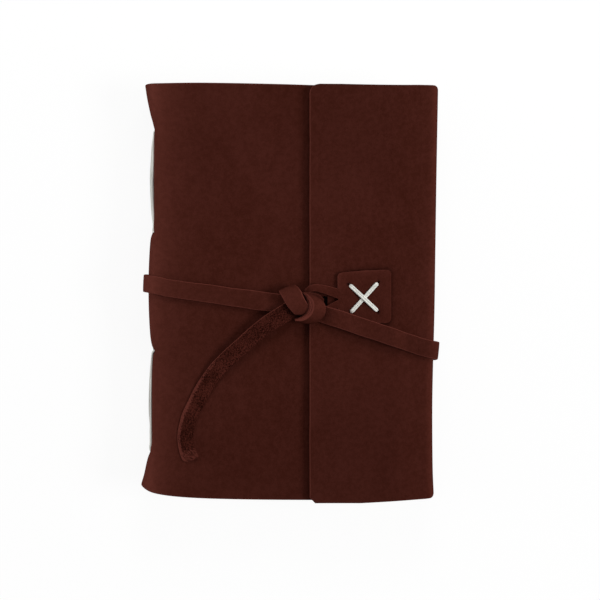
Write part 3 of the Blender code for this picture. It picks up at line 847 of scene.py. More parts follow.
PAGE_PAPER = FibreFinish(
    "page_paper",
    light=(0.80, 0.76, 0.67),
    dark=(0.72, 0.67, 0.57),
    fibre_scale=2200.0,
    roughness=0.9,
    relief=0.15,
)
WAXED_THREAD = FibreFinish(
    "waxed_thread",
    light=(0.90, 0.90, 0.84),
    dark=(0.78, 0.78, 0.72),
    fibre_scale=3500.0,
    roughness=0.62,
    relief=0.2,
)


def add_piece(name: str, shells: Sequence[Shell], material: Material) -> Piece:
    """Puts skins into one mesh object with its point values, its UV map and its finish.

    Args:
        name: The piece's name.
        shells: The closed skins that make it up.
        material: Its finish.

    Returns:
        The object, at the origin.
    """
    counts = np.cumsum([0] + [len(s.points) for s in shells])
    points = np.concatenate([s.points for s in shells])
    quads = np.concatenate([s.quads + first for s, first in zip(shells, counts)])
    caps = [
        tuple(k + int(first) for k in cap) for s, first in zip(shells, counts) for cap in s.caps
    ]
    mesh = bpy.data.meshes.new(name)
    mesh.from_pydata(points.tolist(), [], quads.tolist() + caps)
    mesh.shade_smooth()
    mesh.set_sharp_from_angle(angle=SHARP_ANGLE)
    for value in ("rim", "flesh", "hole", "wear_and_light"):
        data = np.concatenate([getattr(s, value) for s in shells]).astype(np.float32)
        mesh.attributes.new(value, "FLOAT", "POINT").data.foreach_set("value", data)
    corners = np.zeros(len(mesh.loops), np.int32)
    mesh.loops.foreach_get("vertex_index", corners)
    uv = UV_SCALE * np.concatenate([s.uv for s in shells])[corners]
    mesh.uv_layers.new(name="UVMap").data.foreach_set("uv", uv.astype(np.float32).ravel())
    mesh.materials.append(material)
    piece = bpy.data.objects.new(name, mesh)
    bpy.context.scene.collection.objects.link(piece)
    LOG.info("%s: %d points", name, len(points))
    return piece


# The hide


@dataclass
class SpineShape:
    """The spine's section and its outline from head to tail, pulled in where it is sewn."""

    face_x: float = -69.2 * MM
    bend: float = 4.25 * MM
    seam_x: float = -61.2 * MM
    tail_x: float = -73.3 * MM
    top_rise: float = 1.5 * MM
    top_rise_within: float = 50.0 * MM
    flat_rows: int = 5
    wall_rows: tuple[float, ...] = (0.0, 0.09, 0.2, 0.35, 0.5, 0.65, 0.8, 0.91, 1.0)
    outline: tuple[Pair, ...] = (
        (112.0, -73.4), (101.5, -71.9), (95.0, -70.9), (88.0, -69.4), (81.0, -67.7),
        (72.0, -67.6), (55.0, -67.6), (36.0, -67.6), (30.0, -68.3), (26.0, -69.3),
        (18.0, -69.9), (6.0, -70.3), (-8.0, -70.15), (-20.0, -69.5), (-25.0, -68.75),
        (-28.2, -68.0), (-38.0, -68.5), (-57.0, -68.6), (-72.0, -68.6), (-77.0, -69.6),
        (-83.0, -71.2), (-89.0, -72.5), (-94.0, -73.9), (-104.0, -75.8),
    )

    def face(self, y: Array) -> Array:
        """X of the spine's outer face."""
        return outline_at(self.outline, y)

    def weight(self, x: Array) -> Array:
        """How much of the outline's shift a place across the bend takes: none at the seam."""
        return smooth_step((self.seam_x - x) / (self.seam_x - self.face_x))

    def joints(self) -> Array:
        """Heights of the strips' borders on the wall: the middle of each gathering."""
        return BLOCK_Z + 0.5 * (PITCH - GAP) + PITCH * np.arange(GATHERINGS)

    def holes(self, station: float) -> Array:
        """The sewing holes at a station, XYZ rows from the back up.

        At the two middle stations the top hole is on the bend, so it stands higher and further in.

        Args:
            station: Y of the station.

        Returns:
            One row for each gathering.
        """
        top = np.arange(GATHERINGS) == GATHERINGS - 1
        rise = np.where(top, self.top_rise, 0.0) * (abs(station) < self.top_rise_within)
        y = np.full(GATHERINGS, station)
        return joined(self.face(y) + rounded(self.bend, rise), y, self.joints() + rise)

    def strip(self, number: int, depth: float) -> Array:
        """The section of one strip at a depth under the outer face, from the back to the front.

        Args:
            number: 0 is the lower bend, 1 to 5 lie on the wall, 6 is the upper bend.
            depth: Distance inside the outer face, negative outside.

        Returns:
            Rows of x and z.
        """
        heights = self.joints()
        if number == GATHERINGS:
            return self.strip(0, depth)[::-1] * (1.0, -1.0) + (0.0, heights[0] + heights[-1])
        if number > 0:
            z = heights[number - 1] + PITCH * np.array(self.wall_rows)
            return joined(self.face_x + depth, z)
        turn = np.linspace(0.0, 0.5 * math.pi, BEND_SAMPLES)
        reach = self.bend - depth
        centre_x = self.face_x + self.bend
        flat = np.linspace(self.seam_x, centre_x, self.flat_rows)[:-1]
        bend = joined(centre_x - reach * np.sin(turn), -reach * np.cos(turn))
        return np.vstack([joined(flat, -reach), bend]) + (0.0, heights[0])


@dataclass
class ForeEdgeShape:
    """The fold at the fore-edge: lower bend, wall and upper bend, with a slight lean throughout."""

    face_x: float = 70.0 * MM
    bend: float = 4.0 * MM
    low_seam: float = 65.0 * MM
    high_seam: float = 62.0 * MM
    wall: Pair = (9.0 * MM, 24.5 * MM)
    foot: float = BACK_Z
    crown: float = FLAP_TOP
    lean_share: Ramp = Ramp(30.0 * MM, 34.0 * MM)
    flat_rows: int = 4
    wall_rows: int = 9
    outline: tuple[Pair, ...] = (
        (112.0, 71.5), (101.0, 71.3), (60.0, 70.55), (20.0, 69.95), (-10.0, 69.5),
        (-40.0, 68.7), (-60.0, 68.45), (-85.0, 68.65), (-97.0, 69.1), (-108.0, 69.4),
    )

    def lean(self, x: Array, y: Array) -> Array:
        """How far a place leans out: by the edge's outline, fading inwards from the fold."""
        return (outline_at(self.outline, y) - self.face_x) * self.lean_share.up(x)

    def strip(self, number: int, depth: float) -> Array:
        """The section at a depth under the outer face, from the back to the flap.

        Args:
            number: 0 is the lower bend, 1 the wall, 2 the upper bend.
            depth: Distance inside the outer face, negative outside.

        Returns:
            Rows of x and z.
        """
        turn = np.linspace(0.0, 0.5 * math.pi, BEND_SAMPLES)
        centre_x, wall_x = self.face_x - self.bend, self.face_x - depth
        reach = self.bend - depth
        if number == 0:
            z = self.foot + self.bend - reach * np.cos(turn)
            bend = joined(centre_x + reach * np.sin(turn), z)
            return np.vstack([(self.low_seam, self.foot + depth), bend, (wall_x, self.wall[0])])
        if number == 1:
            return joined(wall_x, np.linspace(*self.wall, self.wall_rows))
        z = self.crown - self.bend + reach * np.sin(turn)
        bend = joined(centre_x + reach * np.cos(turn), z)
        flat = np.linspace(centre_x, self.high_seam, self.flat_rows)[1:]
        return np.vstack([(wall_x, self.wall[1]), bend, joined(flat, self.crown - depth)])


@dataclass
class PatchShape:
    """The outline of the patch: four sides, a head edge that climbs, rounded corners."""

    left: float = 22.0 * MM
    right: float = 48.1 * MM
    foot: float = -14.9 * MM
    head: Pair = (10.2 * MM, 11.8 * MM)
    radius: float = 2.7 * MM
    # Painted shade round the patch on the flap, strongest on its right
    shade_reach: float = 1.2 * MM
    shade_depth: float = 0.42
    shade_left: float = 0.2
    shade_turn: float = 9.0 * MM

    def climb(self, x: Array, y: Array) -> Array:
        """How far the outline is raised: the head edge's climb, faded out towards the foot."""
        share = smooth_step((y - self.foot) / (self.head[0] - self.foot))
        return (self.head[1] - self.head[0]) * (x - self.left) / (self.right - self.left) * share

    def painted_shade(self, x: Array, y: Array) -> Array:
        """Painted shade round the patch on the leather, strongest on its right.

        It fades by exp(-d / its reach), where d is the distance outside the rounded rectangle.

        Args:
            x: X of each point.
            y: Y of each point.

        Returns:
            The painted shade at each point.
        """
        half_width = 0.5 * (self.right - self.left)
        across = np.abs(x - 0.5 * (self.left + self.right)) - half_width + self.radius
        level = y - self.climb(x, y) - 0.5 * (self.foot + self.head[0])
        along = np.abs(level) - 0.5 * (self.head[0] - self.foot) + self.radius
        away = np.hypot(np.maximum(across, 0.0), np.maximum(along, 0.0)) - self.radius
        turn = smooth_step((x - self.left) / self.shade_turn)
        side = self.shade_left + (1.0 - self.shade_left) * turn
        return self.shade_depth * side * np.exp(-np.maximum(away, 0.0) / self.shade_reach)


SPINE = SpineShape()
FORE_EDGE = ForeEdgeShape()
PATCH = PatchShape()

SPINE_FADE = Ramp(SPINE.seam_x, 14.0 * MM)


def inside_panel(x: Array, end: Ramp) -> Array:
    """1 inside a panel, falling to 0 at the spine's seam and at the panel's far end."""
    return SPINE_FADE.up(x) * end.down(x)


@dataclass(frozen=True)
class Handling:
    """Paling by wear and by painted light on the bends, and darkening towards head and tail; the
    fold's ramp runs towards -X.
    """

    spine_depth: float = 0.38
    head: Ramp = Ramp(-20.0 * MM, 40.0 * MM, 0.12)
    spine: Ramp = Ramp(-64.3 * MM, 8.5 * MM)
    lip: Ramp = Ramp(-68.5 * MM, 1.7 * MM, 0.4)
    fold: Ramp = Ramp(-69.5 * MM, 3.5 * MM)
    fold_depth: float = 0.2
    darkening_end: Ramp = Ramp(60.0 * MM, 16.0 * MM)
    darkening: Ramp = Ramp(20.0 * MM, 55.0 * MM)

    def paled(self, points: Array) -> Array:
        """How far the leather is paled, by wear and by painted light on the bends: most at the
        spine and its head, a little at the fold.
        """
        x, y, _ = points.T
        spine = (self.spine_depth + self.head.up(y)) * self.spine.decay(x) + self.lip.decay(x)
        fold = self.fold_depth * np.minimum(1.0, self.fold.decay(-x))
        return np.minimum(1.0, spine) + fold

    def darkened(self, points: Array, depth: float) -> Array:
        """How far a panel is darkened: more towards head and tail, none at its sides."""
        x, y, _ = points.T
        return depth * inside_panel(x, self.darkening_end) * self.darkening.up(np.abs(y))


HANDLING = Handling()


def bend_with_spine(piece: Piece, number: int) -> None:
    """Bakes a spine strip's transform into its mesh; it is not bent across a joint of the chain.

    Args:
        piece: The strip.
        number: The strip's number, 0 at the back.
    """
    if number == 0:
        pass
    elif number == GATHERINGS:
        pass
    else:
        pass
    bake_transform(piece)


def bend_with_fold(piece: Piece, number: int) -> None:
    """Lets the fore-edge's wall ride on the fold, and bakes the two bends where they are without
    bending them.

    Args:
        piece: The stretch.
        number: 0 is the lower bend, 1 the wall, 2 the upper bend.
    """
    if number == 0:
        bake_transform(piece)
    elif number == 1:
        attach(piece, "fold")
    else:
        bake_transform(piece)


@dataclass
class Hide:
    """The cover: one hide, as front panel, spine, back panel, fore-edge fold and flap."""

    material: Material
    thickness: float = 2.4 * MM
    rounding: float = 0.55 * MM
    height: float = 202.0 * MM
    step: float = 2.6 * MM
    spine_step: float = 1.1 * MM
    flap_step: float = 0.9 * MM
    front_edge: float = 64.3 * MM
    head_top: Pair = (-45.0 * MM, 102.6 * MM)
    head_fall: float = 0.008
    head_bow: Pair = (0.7, 0.25)
    head_corner: Ramp = Ramp(-67.0 * MM, 6.0 * MM, 0.5 * MM)
    tail_y: float = -101.0 * MM
    tail_rise: tuple[Pair, ...] = ((1.35, 4.6), (2.9, 22.0))
    tail_bow: Pair = (16.0 * MM, 1.55)
    flap_edge: float = 8.5 * MM
    flap_radius: float = 4.6 * MM
    flap_cut: float = 2.3 * MM
    flap_head_y: float = 101.97 * MM
    flap_head_fall: Pair = (24.0 * MM, 0.021)
    flap_tail_y: float = -102.22 * MM
    flap_tail_rise: Point = (33.0 * MM, 0.05, 0.5)
    fold_radius: float = 1.9 * MM
    hole_radius: float = 0.9 * MM
    dent_radius: float = 1.5 * MM
    dent_depth: float = 0.45 * MM
    swell_depth: float = 0.11 * MM
    swell_end: Ramp = Ramp(62.0 * MM, 14.0 * MM)
    edge_wave: float = 0.10 * MM
    lift: Pair = (1.15, 0.2)
    lift_reach: float = 13.0 * MM
    press_y: float = -9.0 * MM
    press_reach: float = 22.0 * MM
    press_depth: float = 0.6
    # How far the front panel and the flap are darkened towards head and tail
    front_darkening: float = 0.055
    flap_darkening: float = 0.1

    def head(self, x: Array) -> Array:
        """Y of the front's head edge, a shallow arch with its top left of the middle."""
        away = x - self.head_top[0]
        left, right = (bow * away**2 for bow in self.head_bow)
        fall = np.where(away > 0.0, self.head_fall * away + right, left)
        return self.head_top[1] - fall - self.head_corner.down(x)

    def tail(self, x: Array) -> Array:
        """Y of the front's tail edge, which rises fast at the spine and a little under the flap."""
        away = (x - SPINE.face_x) / MM
        rise = sum(height * np.exp(-away / reach) for height, reach in self.tail_rise)
        start, bow = self.tail_bow
        return self.tail_y + rise * MM + bow * np.maximum(x - start, 0.0) ** 2

    def flap_head(self, x: Array) -> Array:
        """Y of the flap's head edge, which falls a little to the fold and turns its corner."""
        start, fall = self.flap_head_fall
        return self.flap_head_y - fall * np.maximum(x - start, 0.0) - self.fold_corner(x)

    def flap_tail(self, x: Array) -> Array:
        """Y of the flap's tail edge, which rises a little to the fold."""
        start, rise, bow = self.flap_tail_rise
        past = np.maximum(x - start, 0.0)
        return self.flap_tail_y + rise * past + bow * past**2 + self.fold_corner(x)

    def fold_corner(self, x: Array) -> Array:
        """How far the fold's rounded corner cuts into the head or tail edge: a quarter circle."""
        return rounded(self.fold_radius, x - FORE_EDGE.face_x + self.fold_radius)

    def back_ends(self, x: Array) -> tuple[Array, Array]:
        """Y of the back panel's tail and head edges, a smooth step from spine to fold.

        Args:
            x: X of each column.

        Returns:
            Y of the tail edge and of the head edge.
        """
        share = smooth_step((x - SPINE.seam_x) / (FORE_EDGE.low_seam - SPINE.seam_x))
        seam = np.full_like(x, SPINE.seam_x)
        fold = np.full_like(x, FORE_EDGE.face_x)
        tail = self.tail(seam) + share * (self.flap_tail(fold) - self.tail(seam))
        return tail, self.head(seam) + share * (self.flap_head(fold) - self.head(seam))

    def rows(self, step: float) -> Array:
        """Shares from tail to head, closer at the two cut edges."""
        return spaced(self.height, step, CUT, CUT) / self.height

    def between(self, tail: Array, head: Array, step: float) -> Array:
        """Y of each row of each column, inside the cut edges by their rounding."""
        low, high = tail[:, None] + self.rounding, head[:, None] - self.rounding
        return low + self.rows(step)[None, :] * (high - low)

    def swell(self, x: Array, y: Array, seed: int) -> Array:
        """Soft unevenness of a panel: two crossed wanderings, faded out at the spine and fold."""
        wave = wander(x + 0.35 * y, 70.0 * MM, seed) + wander(y - 0.25 * x, 60.0 * MM, seed + 1)
        return self.swell_depth * inside_panel(x, self.swell_end) * wave

    def skin(
        self,
        middle: Array,
        edges: Edges,
        facing: Array | None = None,
        hole: Array | None = None,
    ) -> Shell:
        """The leather on a mid surface, paled by wear and by painted light on the bends.

        Args:
            middle: Mid surface, rows by columns by 3.
            edges: How its four sides close.
            facing: Directions to the grain side, by default the grid's own.
            hole: Darkness of a stitch hole or of painted shade for each point.

        Returns:
            The leather's skin.
        """
        facing = facing_of(middle) if facing is None else facing
        skin = slab(middle, facing, self.thickness, edges, self.rounding, hole=hole)
        skin.wear_and_light = HANDLING.paled(skin.points)
        return skin

    def front_panel(self) -> None:
        """The front panel: a level grid between its head and tail edges."""
        span = self.front_edge - self.rounding - SPINE.seam_x
        columns = SPINE.seam_x + spaced(span, self.step, SEAM, CUT)
        y = self.between(self.tail(columns), self.head(columns), self.step)
        x = columns[:, None]
        z = FRONT_Z + 0.5 * self.thickness + self.swell(x, y, seed=3)
        skin = self.skin(joined(x, y, z), (SEAM, CUT, CUT, CUT))
        # Darker towards head and tail
        skin.hole = HANDLING.darkened(skin.points, self.front_darkening)
        piece = add_piece("front_panel", [skin], self.material)
        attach(piece, "front")
        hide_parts("front_cover")

    def spine_strip(self, number: int) -> None:
        """One strip of the spine: its section carried from tail to head along the sewn outline.

        Args:
            number: The strip's number, 0 at the back.
        """
        section = SPINE.strip(number, 0.5 * self.thickness)
        outer = SPINE.strip(number, 0.0)[:, 0]
        weight = SPINE.weight(outer)
        tail = self.tail(outer + weight * (SPINE.tail_x - SPINE.face_x))
        y = self.between(tail, self.head(outer), self.spine_step)
        x = section[:, :1] + weight[:, None] * (SPINE.face(y) - SPINE.face_x)
        middle = joined(x, y, section[:, 1:])
        facing = facing_of(middle)
        grain = middle + facing * 0.5 * self.thickness
        dent, hole = np.zeros_like(y), np.zeros_like(y)
        for place in np.concatenate([SPINE.holes(station) for station in STATIONS]):
            away = np.sum((grain - place) ** 2, axis=-1)
            dent += np.exp(-away / self.dent_radius**2)
            hole += np.exp(-((away / self.hole_radius**2) ** 2))
        middle = middle - facing * self.dent_depth * dent[..., None]
        skin = self.skin(middle, STRIP_EDGES, facing, np.minimum(hole, 1.0))
        piece = add_piece(f"spine_strip_{number + 1}", [skin], self.material)
        bend_with_spine(piece, number)
        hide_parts("spine")

    def back_panel(self) -> None:
        """The back panel: a level grid, grain side down."""
        span = FORE_EDGE.low_seam - SPINE.seam_x
        columns = SPINE.seam_x + spaced(span, self.step, SEAM, SEAM)
        y = self.between(*self.back_ends(columns), self.step)
        x = columns[:, None] + FORE_EDGE.lean(columns[:, None], y)
        z = BACK_Z + 0.5 * self.thickness + self.swell(x, y, seed=11)
        middle = joined(x, y, z)
        skin = self.skin(middle, STRIP_EDGES, -facing_of(middle))
        piece = add_piece("back_panel", [skin], self.material)
        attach(piece, "back")
        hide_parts("back_cover")

    def fold_strip(self, number: int, name: str) -> None:
        """One stretch of the fore-edge fold: its section carried along the leaning edge.

        Args:
            number: 0 is the lower bend, 1 the wall, 2 the upper bend.
            name: The piece's name.
        """
        section = FORE_EDGE.strip(number, 0.5 * self.thickness)
        outer = FORE_EDGE.strip(number, 0.0)[:, 0]
        if number == 0:
            tail, head = self.back_ends(np.minimum(outer, FORE_EDGE.low_seam))
        else:
            tail, head = self.flap_tail(outer), self.flap_head(outer)
        y = self.between(tail, head, self.step)
        x = section[:, :1] + FORE_EDGE.lean(outer[:, None], y)
        middle = joined(x, y, section[:, 1:])
        skin = self.skin(middle, STRIP_EDGES, -facing_of(middle))
        piece = add_piece(name, [skin], self.material)
        bend_with_fold(piece, number)
        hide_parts("fore_edge")

    def flap(self) -> None:
        """The flap: its free edge is rounded at the head, clipped at the tail and lifted."""
        share = self.rows(self.flap_step)
        corner_x = np.array([self.flap_edge])
        low, high = self.flap_tail(corner_x), self.flap_head(corner_x)
        free_y = low + share * (high - low)
        corner = rounded(self.flap_radius, self.flap_radius - (high - free_y))
        clip = np.clip(self.flap_cut - (free_y - low), 0.0, self.flap_cut)
        wave = self.edge_wave * wander(free_y, 40.0 * MM, seed=21)
        left = (self.flap_edge + self.rounding + corner + clip + wave)[None, :]
        span = FORE_EDGE.high_seam - self.flap_edge
        across = spaced(span, self.flap_step, CUT, SEAM)[:, None] / span
        x = left + across * (FORE_EDGE.high_seam - left)
        low, high = self.flap_tail(x) + self.rounding, self.flap_head(x) - self.rounding
        y = low + share[None, :] * (high - low)
        pressed = np.exp(-(((y - self.press_y) / self.press_reach) ** 2))
        pressed = 1.0 - self.press_depth * pressed
        height = self.lift[0] + self.lift[1] * wander(y, 80.0 * MM, seed=23)
        lift = np.exp(-(x - self.flap_edge) / self.lift_reach) * height * pressed * MM
        z = FLAP_Z + 0.5 * self.thickness + self.swell(x, y, seed=7) + lift
        middle = joined(x + FORE_EDGE.lean(x, y), y, z)
        edges = (CUT, SEAM, CUT, CUT)
        # Painted shade round the patch; the flap is also darker towards head and tail
        patch_shade = PATCH.painted_shade(middle[..., 0], y)
        skin = slab(middle, facing_of(middle), self.thickness, edges, self.rounding, hole=patch_shade)
        skin.hole = skin.hole + HANDLING.darkened(skin.points, self.flap_darkening)
        piece = add_piece("flap_panel", [skin], self.material)
        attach(piece, "flap")
        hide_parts("flap")

    def build(self) -> None:
        """Makes the whole hide, from the front panel round to the flap."""
        self.front_panel()
        for number in range(GATHERINGS + 1):
            self.spine_strip(number)
        self.back_panel()
        for number, name in enumerate(("fold_foot", "fold_wall", "fold_crown")):
            self.fold_strip(number, name)
        self.flap()


# Paper and sewing


@dataclass
class TextBlock:
    """Six gatherings, each of nested folded sheets."""

    material: Material
    fold_x: float = -64.3 * MM
    edge_x: float = 63.4 * MM
    height: float = 192.0 * MM
    depth: float = 3.1 * MM
    sheets: int = 8
    slit: float = 0.16 * MM
    creep: float = 0.05 * MM
    leaf_share: float = 0.8
    rounding: float = 0.02 * MM
    edge_scatter: float = 0.06
    end_scatter: float = 0.07
    leaf_rows: int = 9
    first_seed: int = 40

    def sheet(self, index: int, number: int, draw: np.random.Generator) -> Shell:
        """One folded sheet: a U section, two leaves and a half circle at the fold, drawn along Y.

        Args:
            index: The gathering, from 0.
            number: The sheet, 0 outermost.
            draw: Source of the small unevenness of its edges.

        Returns:
            The sheet's skin.
        """
        half = 0.5 * self.depth
        pitch = (half - self.slit) / self.sheets
        reach = half - (number + 0.5) * pitch
        middle_z = BLOCK_Z + index * PITCH + half
        centre_x = self.fold_x + half
        edge = self.edge_x + self.creep * number + draw.normal(0.0, self.edge_scatter) * MM
        leaf = np.linspace(edge, centre_x, self.leaf_rows)
        turn = np.linspace(0.0, math.pi, BEND_SAMPLES)[1:-1]
        fold = joined(centre_x - reach * np.sin(turn), middle_z - reach * np.cos(turn))
        low, high = joined(leaf, middle_z - reach), joined(leaf[::-1], middle_z + reach)
        section = np.vstack([low, fold, high])
        top = 0.5 * self.height + draw.normal(0.0, self.end_scatter) * MM
        foot = -0.5 * self.height + draw.normal(0.0, self.end_scatter) * MM
        y = np.linspace(foot, top, self.leaf_rows)
        middle = joined(section[:, :1], y, section[:, 1:])
        thickness = self.leaf_share * pitch
        return slab(middle, facing_of(middle), thickness, rounding=self.rounding, steps=2)

    def build(self) -> None:
        """Makes each gathering as one piece of nested sheets."""
        for index in range(GATHERINGS):
            draw = np.random.default_rng(self.first_seed + index)
            skins = [self.sheet(index, number, draw) for number in range(self.sheets)]
            piece = add_piece(f"gathering_{index + 1}_sheets", skins, self.material)
            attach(piece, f"gathering_{index + 1}")
            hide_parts(f"signature_{index + 1}")


@dataclass
class Sewing:
    """The long stitch: a doubled thread for each gathering, through the four stations."""

    material: Material
    radius: float = 0.48 * MM
    pitch: float = 2.6 * MM
    run_x: float = -62.15 * MM
    end: float = 5.0 * MM
    spread: float = 0.46 * MM
    sunk: float = 0.7
    stand: float = 1.6
    head_slack: tuple[float, ...] = (0.6, 0.35, 0.9, 0.5, 1.4, 0.35)
    tail_slack: tuple[float, ...] = (0.4, 0.2, 0.6, 0.3, 0.75, 0.1)
    fullness: Pair = (0.85, 0.3)
    stitch_samples: int = 61
    close_samples: int = 900
    path_samples: int = 420
    corner: int = 7
    climb_reach: float = 2.0 * MM
    climb: Ramp = Ramp(-64.5 * MM, 2.5 * MM)
    roll: float = 0.55
    roll_length: float = 45.0 * MM
    first_seed: int = 60

    def outside(self, start: float, end: float, slack: float, fullness: float) -> Array:
        """The stitch on the spine: a sine arc to a power, off the leather by its slack.

        Args:
            start: Y of the station where it comes out.
            end: Y of the station where it goes in.
            slack: How far it stands off in millimetres.
            fullness: The power; a small one fills the ends out.

        Returns:
            Rows of x and y.
        """
        share = np.linspace(0.0, 1.0, self.stitch_samples)
        y = start + share * (end - start)
        bow = (slack * MM + self.stand * self.radius) * np.sin(math.pi * share) ** fullness
        return joined(SPINE.face(y) + self.sunk * self.radius - bow, y)

    def route(self, index: int) -> Array:
        """The thread's way in its own level, a close polyline with its corners smoothed.

        Args:
            index: The gathering, from 0.

        Returns:
            Points from end to end.
        """
        first, second, third, last = STATIONS
        inner = self.run_x
        stretches = (
            [(inner, first + self.end), (inner, first)],
            self.outside(first, second, self.head_slack[index], self.fullness[0]),
            [(inner, second), (inner, third)],
            self.outside(third, last, self.tail_slack[index], self.fullness[1]),
            [(inner, last), (inner, last - self.end)],
        )
        close = resample(np.vstack(stretches), self.close_samples)
        padded = np.pad(close, ((self.corner, self.corner), (0, 0)), mode="edge")
        kernel = np.hanning(2 * self.corner + 3)[1:-1]
        kernel = kernel / kernel.sum()
        x, y = (np.convolve(column, kernel, mode="valid") for column in padded.T)
        level = SPINE.joints()[index]
        z = np.full(len(x), level)
        for station in STATIONS:
            near = np.exp(-(((y - station) / self.climb_reach) ** 2))
            z += near * self.climb.down(x) * (SPINE.holes(station)[index, 2] - level)
        return resample(joined(x, y, z), self.path_samples)

    def build(self) -> None:
        """Makes each thread as two twisted strands side by side."""
        for index in range(GATHERINGS):
            path = self.route(index)
            turn = self.roll * wander(arc_length(path), self.roll_length, self.first_seed + index)
            level = np.cross(unit(np.gradient(path, axis=0)), UP)
            side = np.sin(turn)[:, None] * level + np.cos(turn)[:, None] * UP
            strands = (path + sign * self.spread * side for sign in (-1.0, 1.0))
            skins = [twisted(strand, UP, self.radius, self.pitch) for strand in strands]
            piece = add_piece(f"long_stitch_{index + 1}", skins, self.material)
            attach(piece, f"gathering_{index + 1}")
            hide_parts(f"sewing_thread_{index + 1}")


# Lace, patch and knot


def strap(
    left: Array,
    right: Array,
    facing: Array,
    thickness: Share,
    edges: Edges = ALL_CUT,
    crown: float = 0.0,
    rounding: float = 0.42 * MM,
) -> Shell:
    """A flat strap ruled between two rails: each row runs straight from one rail to the other.

    Args:
        left: Points of the left rail.
        right: Points of the right rail, as many.
        facing: About where the grain side faces, one direction or one for each row.
        thickness: The strap's thickness, one number or a column with one for each row.
        edges: How its start, end, left and right sides close.
        crown: How far the middle stands up from the line between the rails.
        rounding: How far a cut edge is rounded over.

    Returns:
        The strap's skin.
    """
    width = float(np.mean(np.linalg.norm(right - left, axis=1)))
    share = spaced(width - 2.0 * rounding, STRAP_STEP, CUT, CUT) + rounding
    share = (share / width)[None, :, None]
    middle = left[:, None] + share * (right - left)[:, None]
    normal = facing_of(middle)
    wanted = np.broadcast_to(facing, left.shape)[:, None]
    normal = normal * np.sign(np.sum(normal * wanted, axis=-1, keepdims=True))
    middle = middle + normal * crown * (1.0 - (2.0 * share - 1.0) ** 2)
    return slab(middle, normal, thickness, edges, rounding)


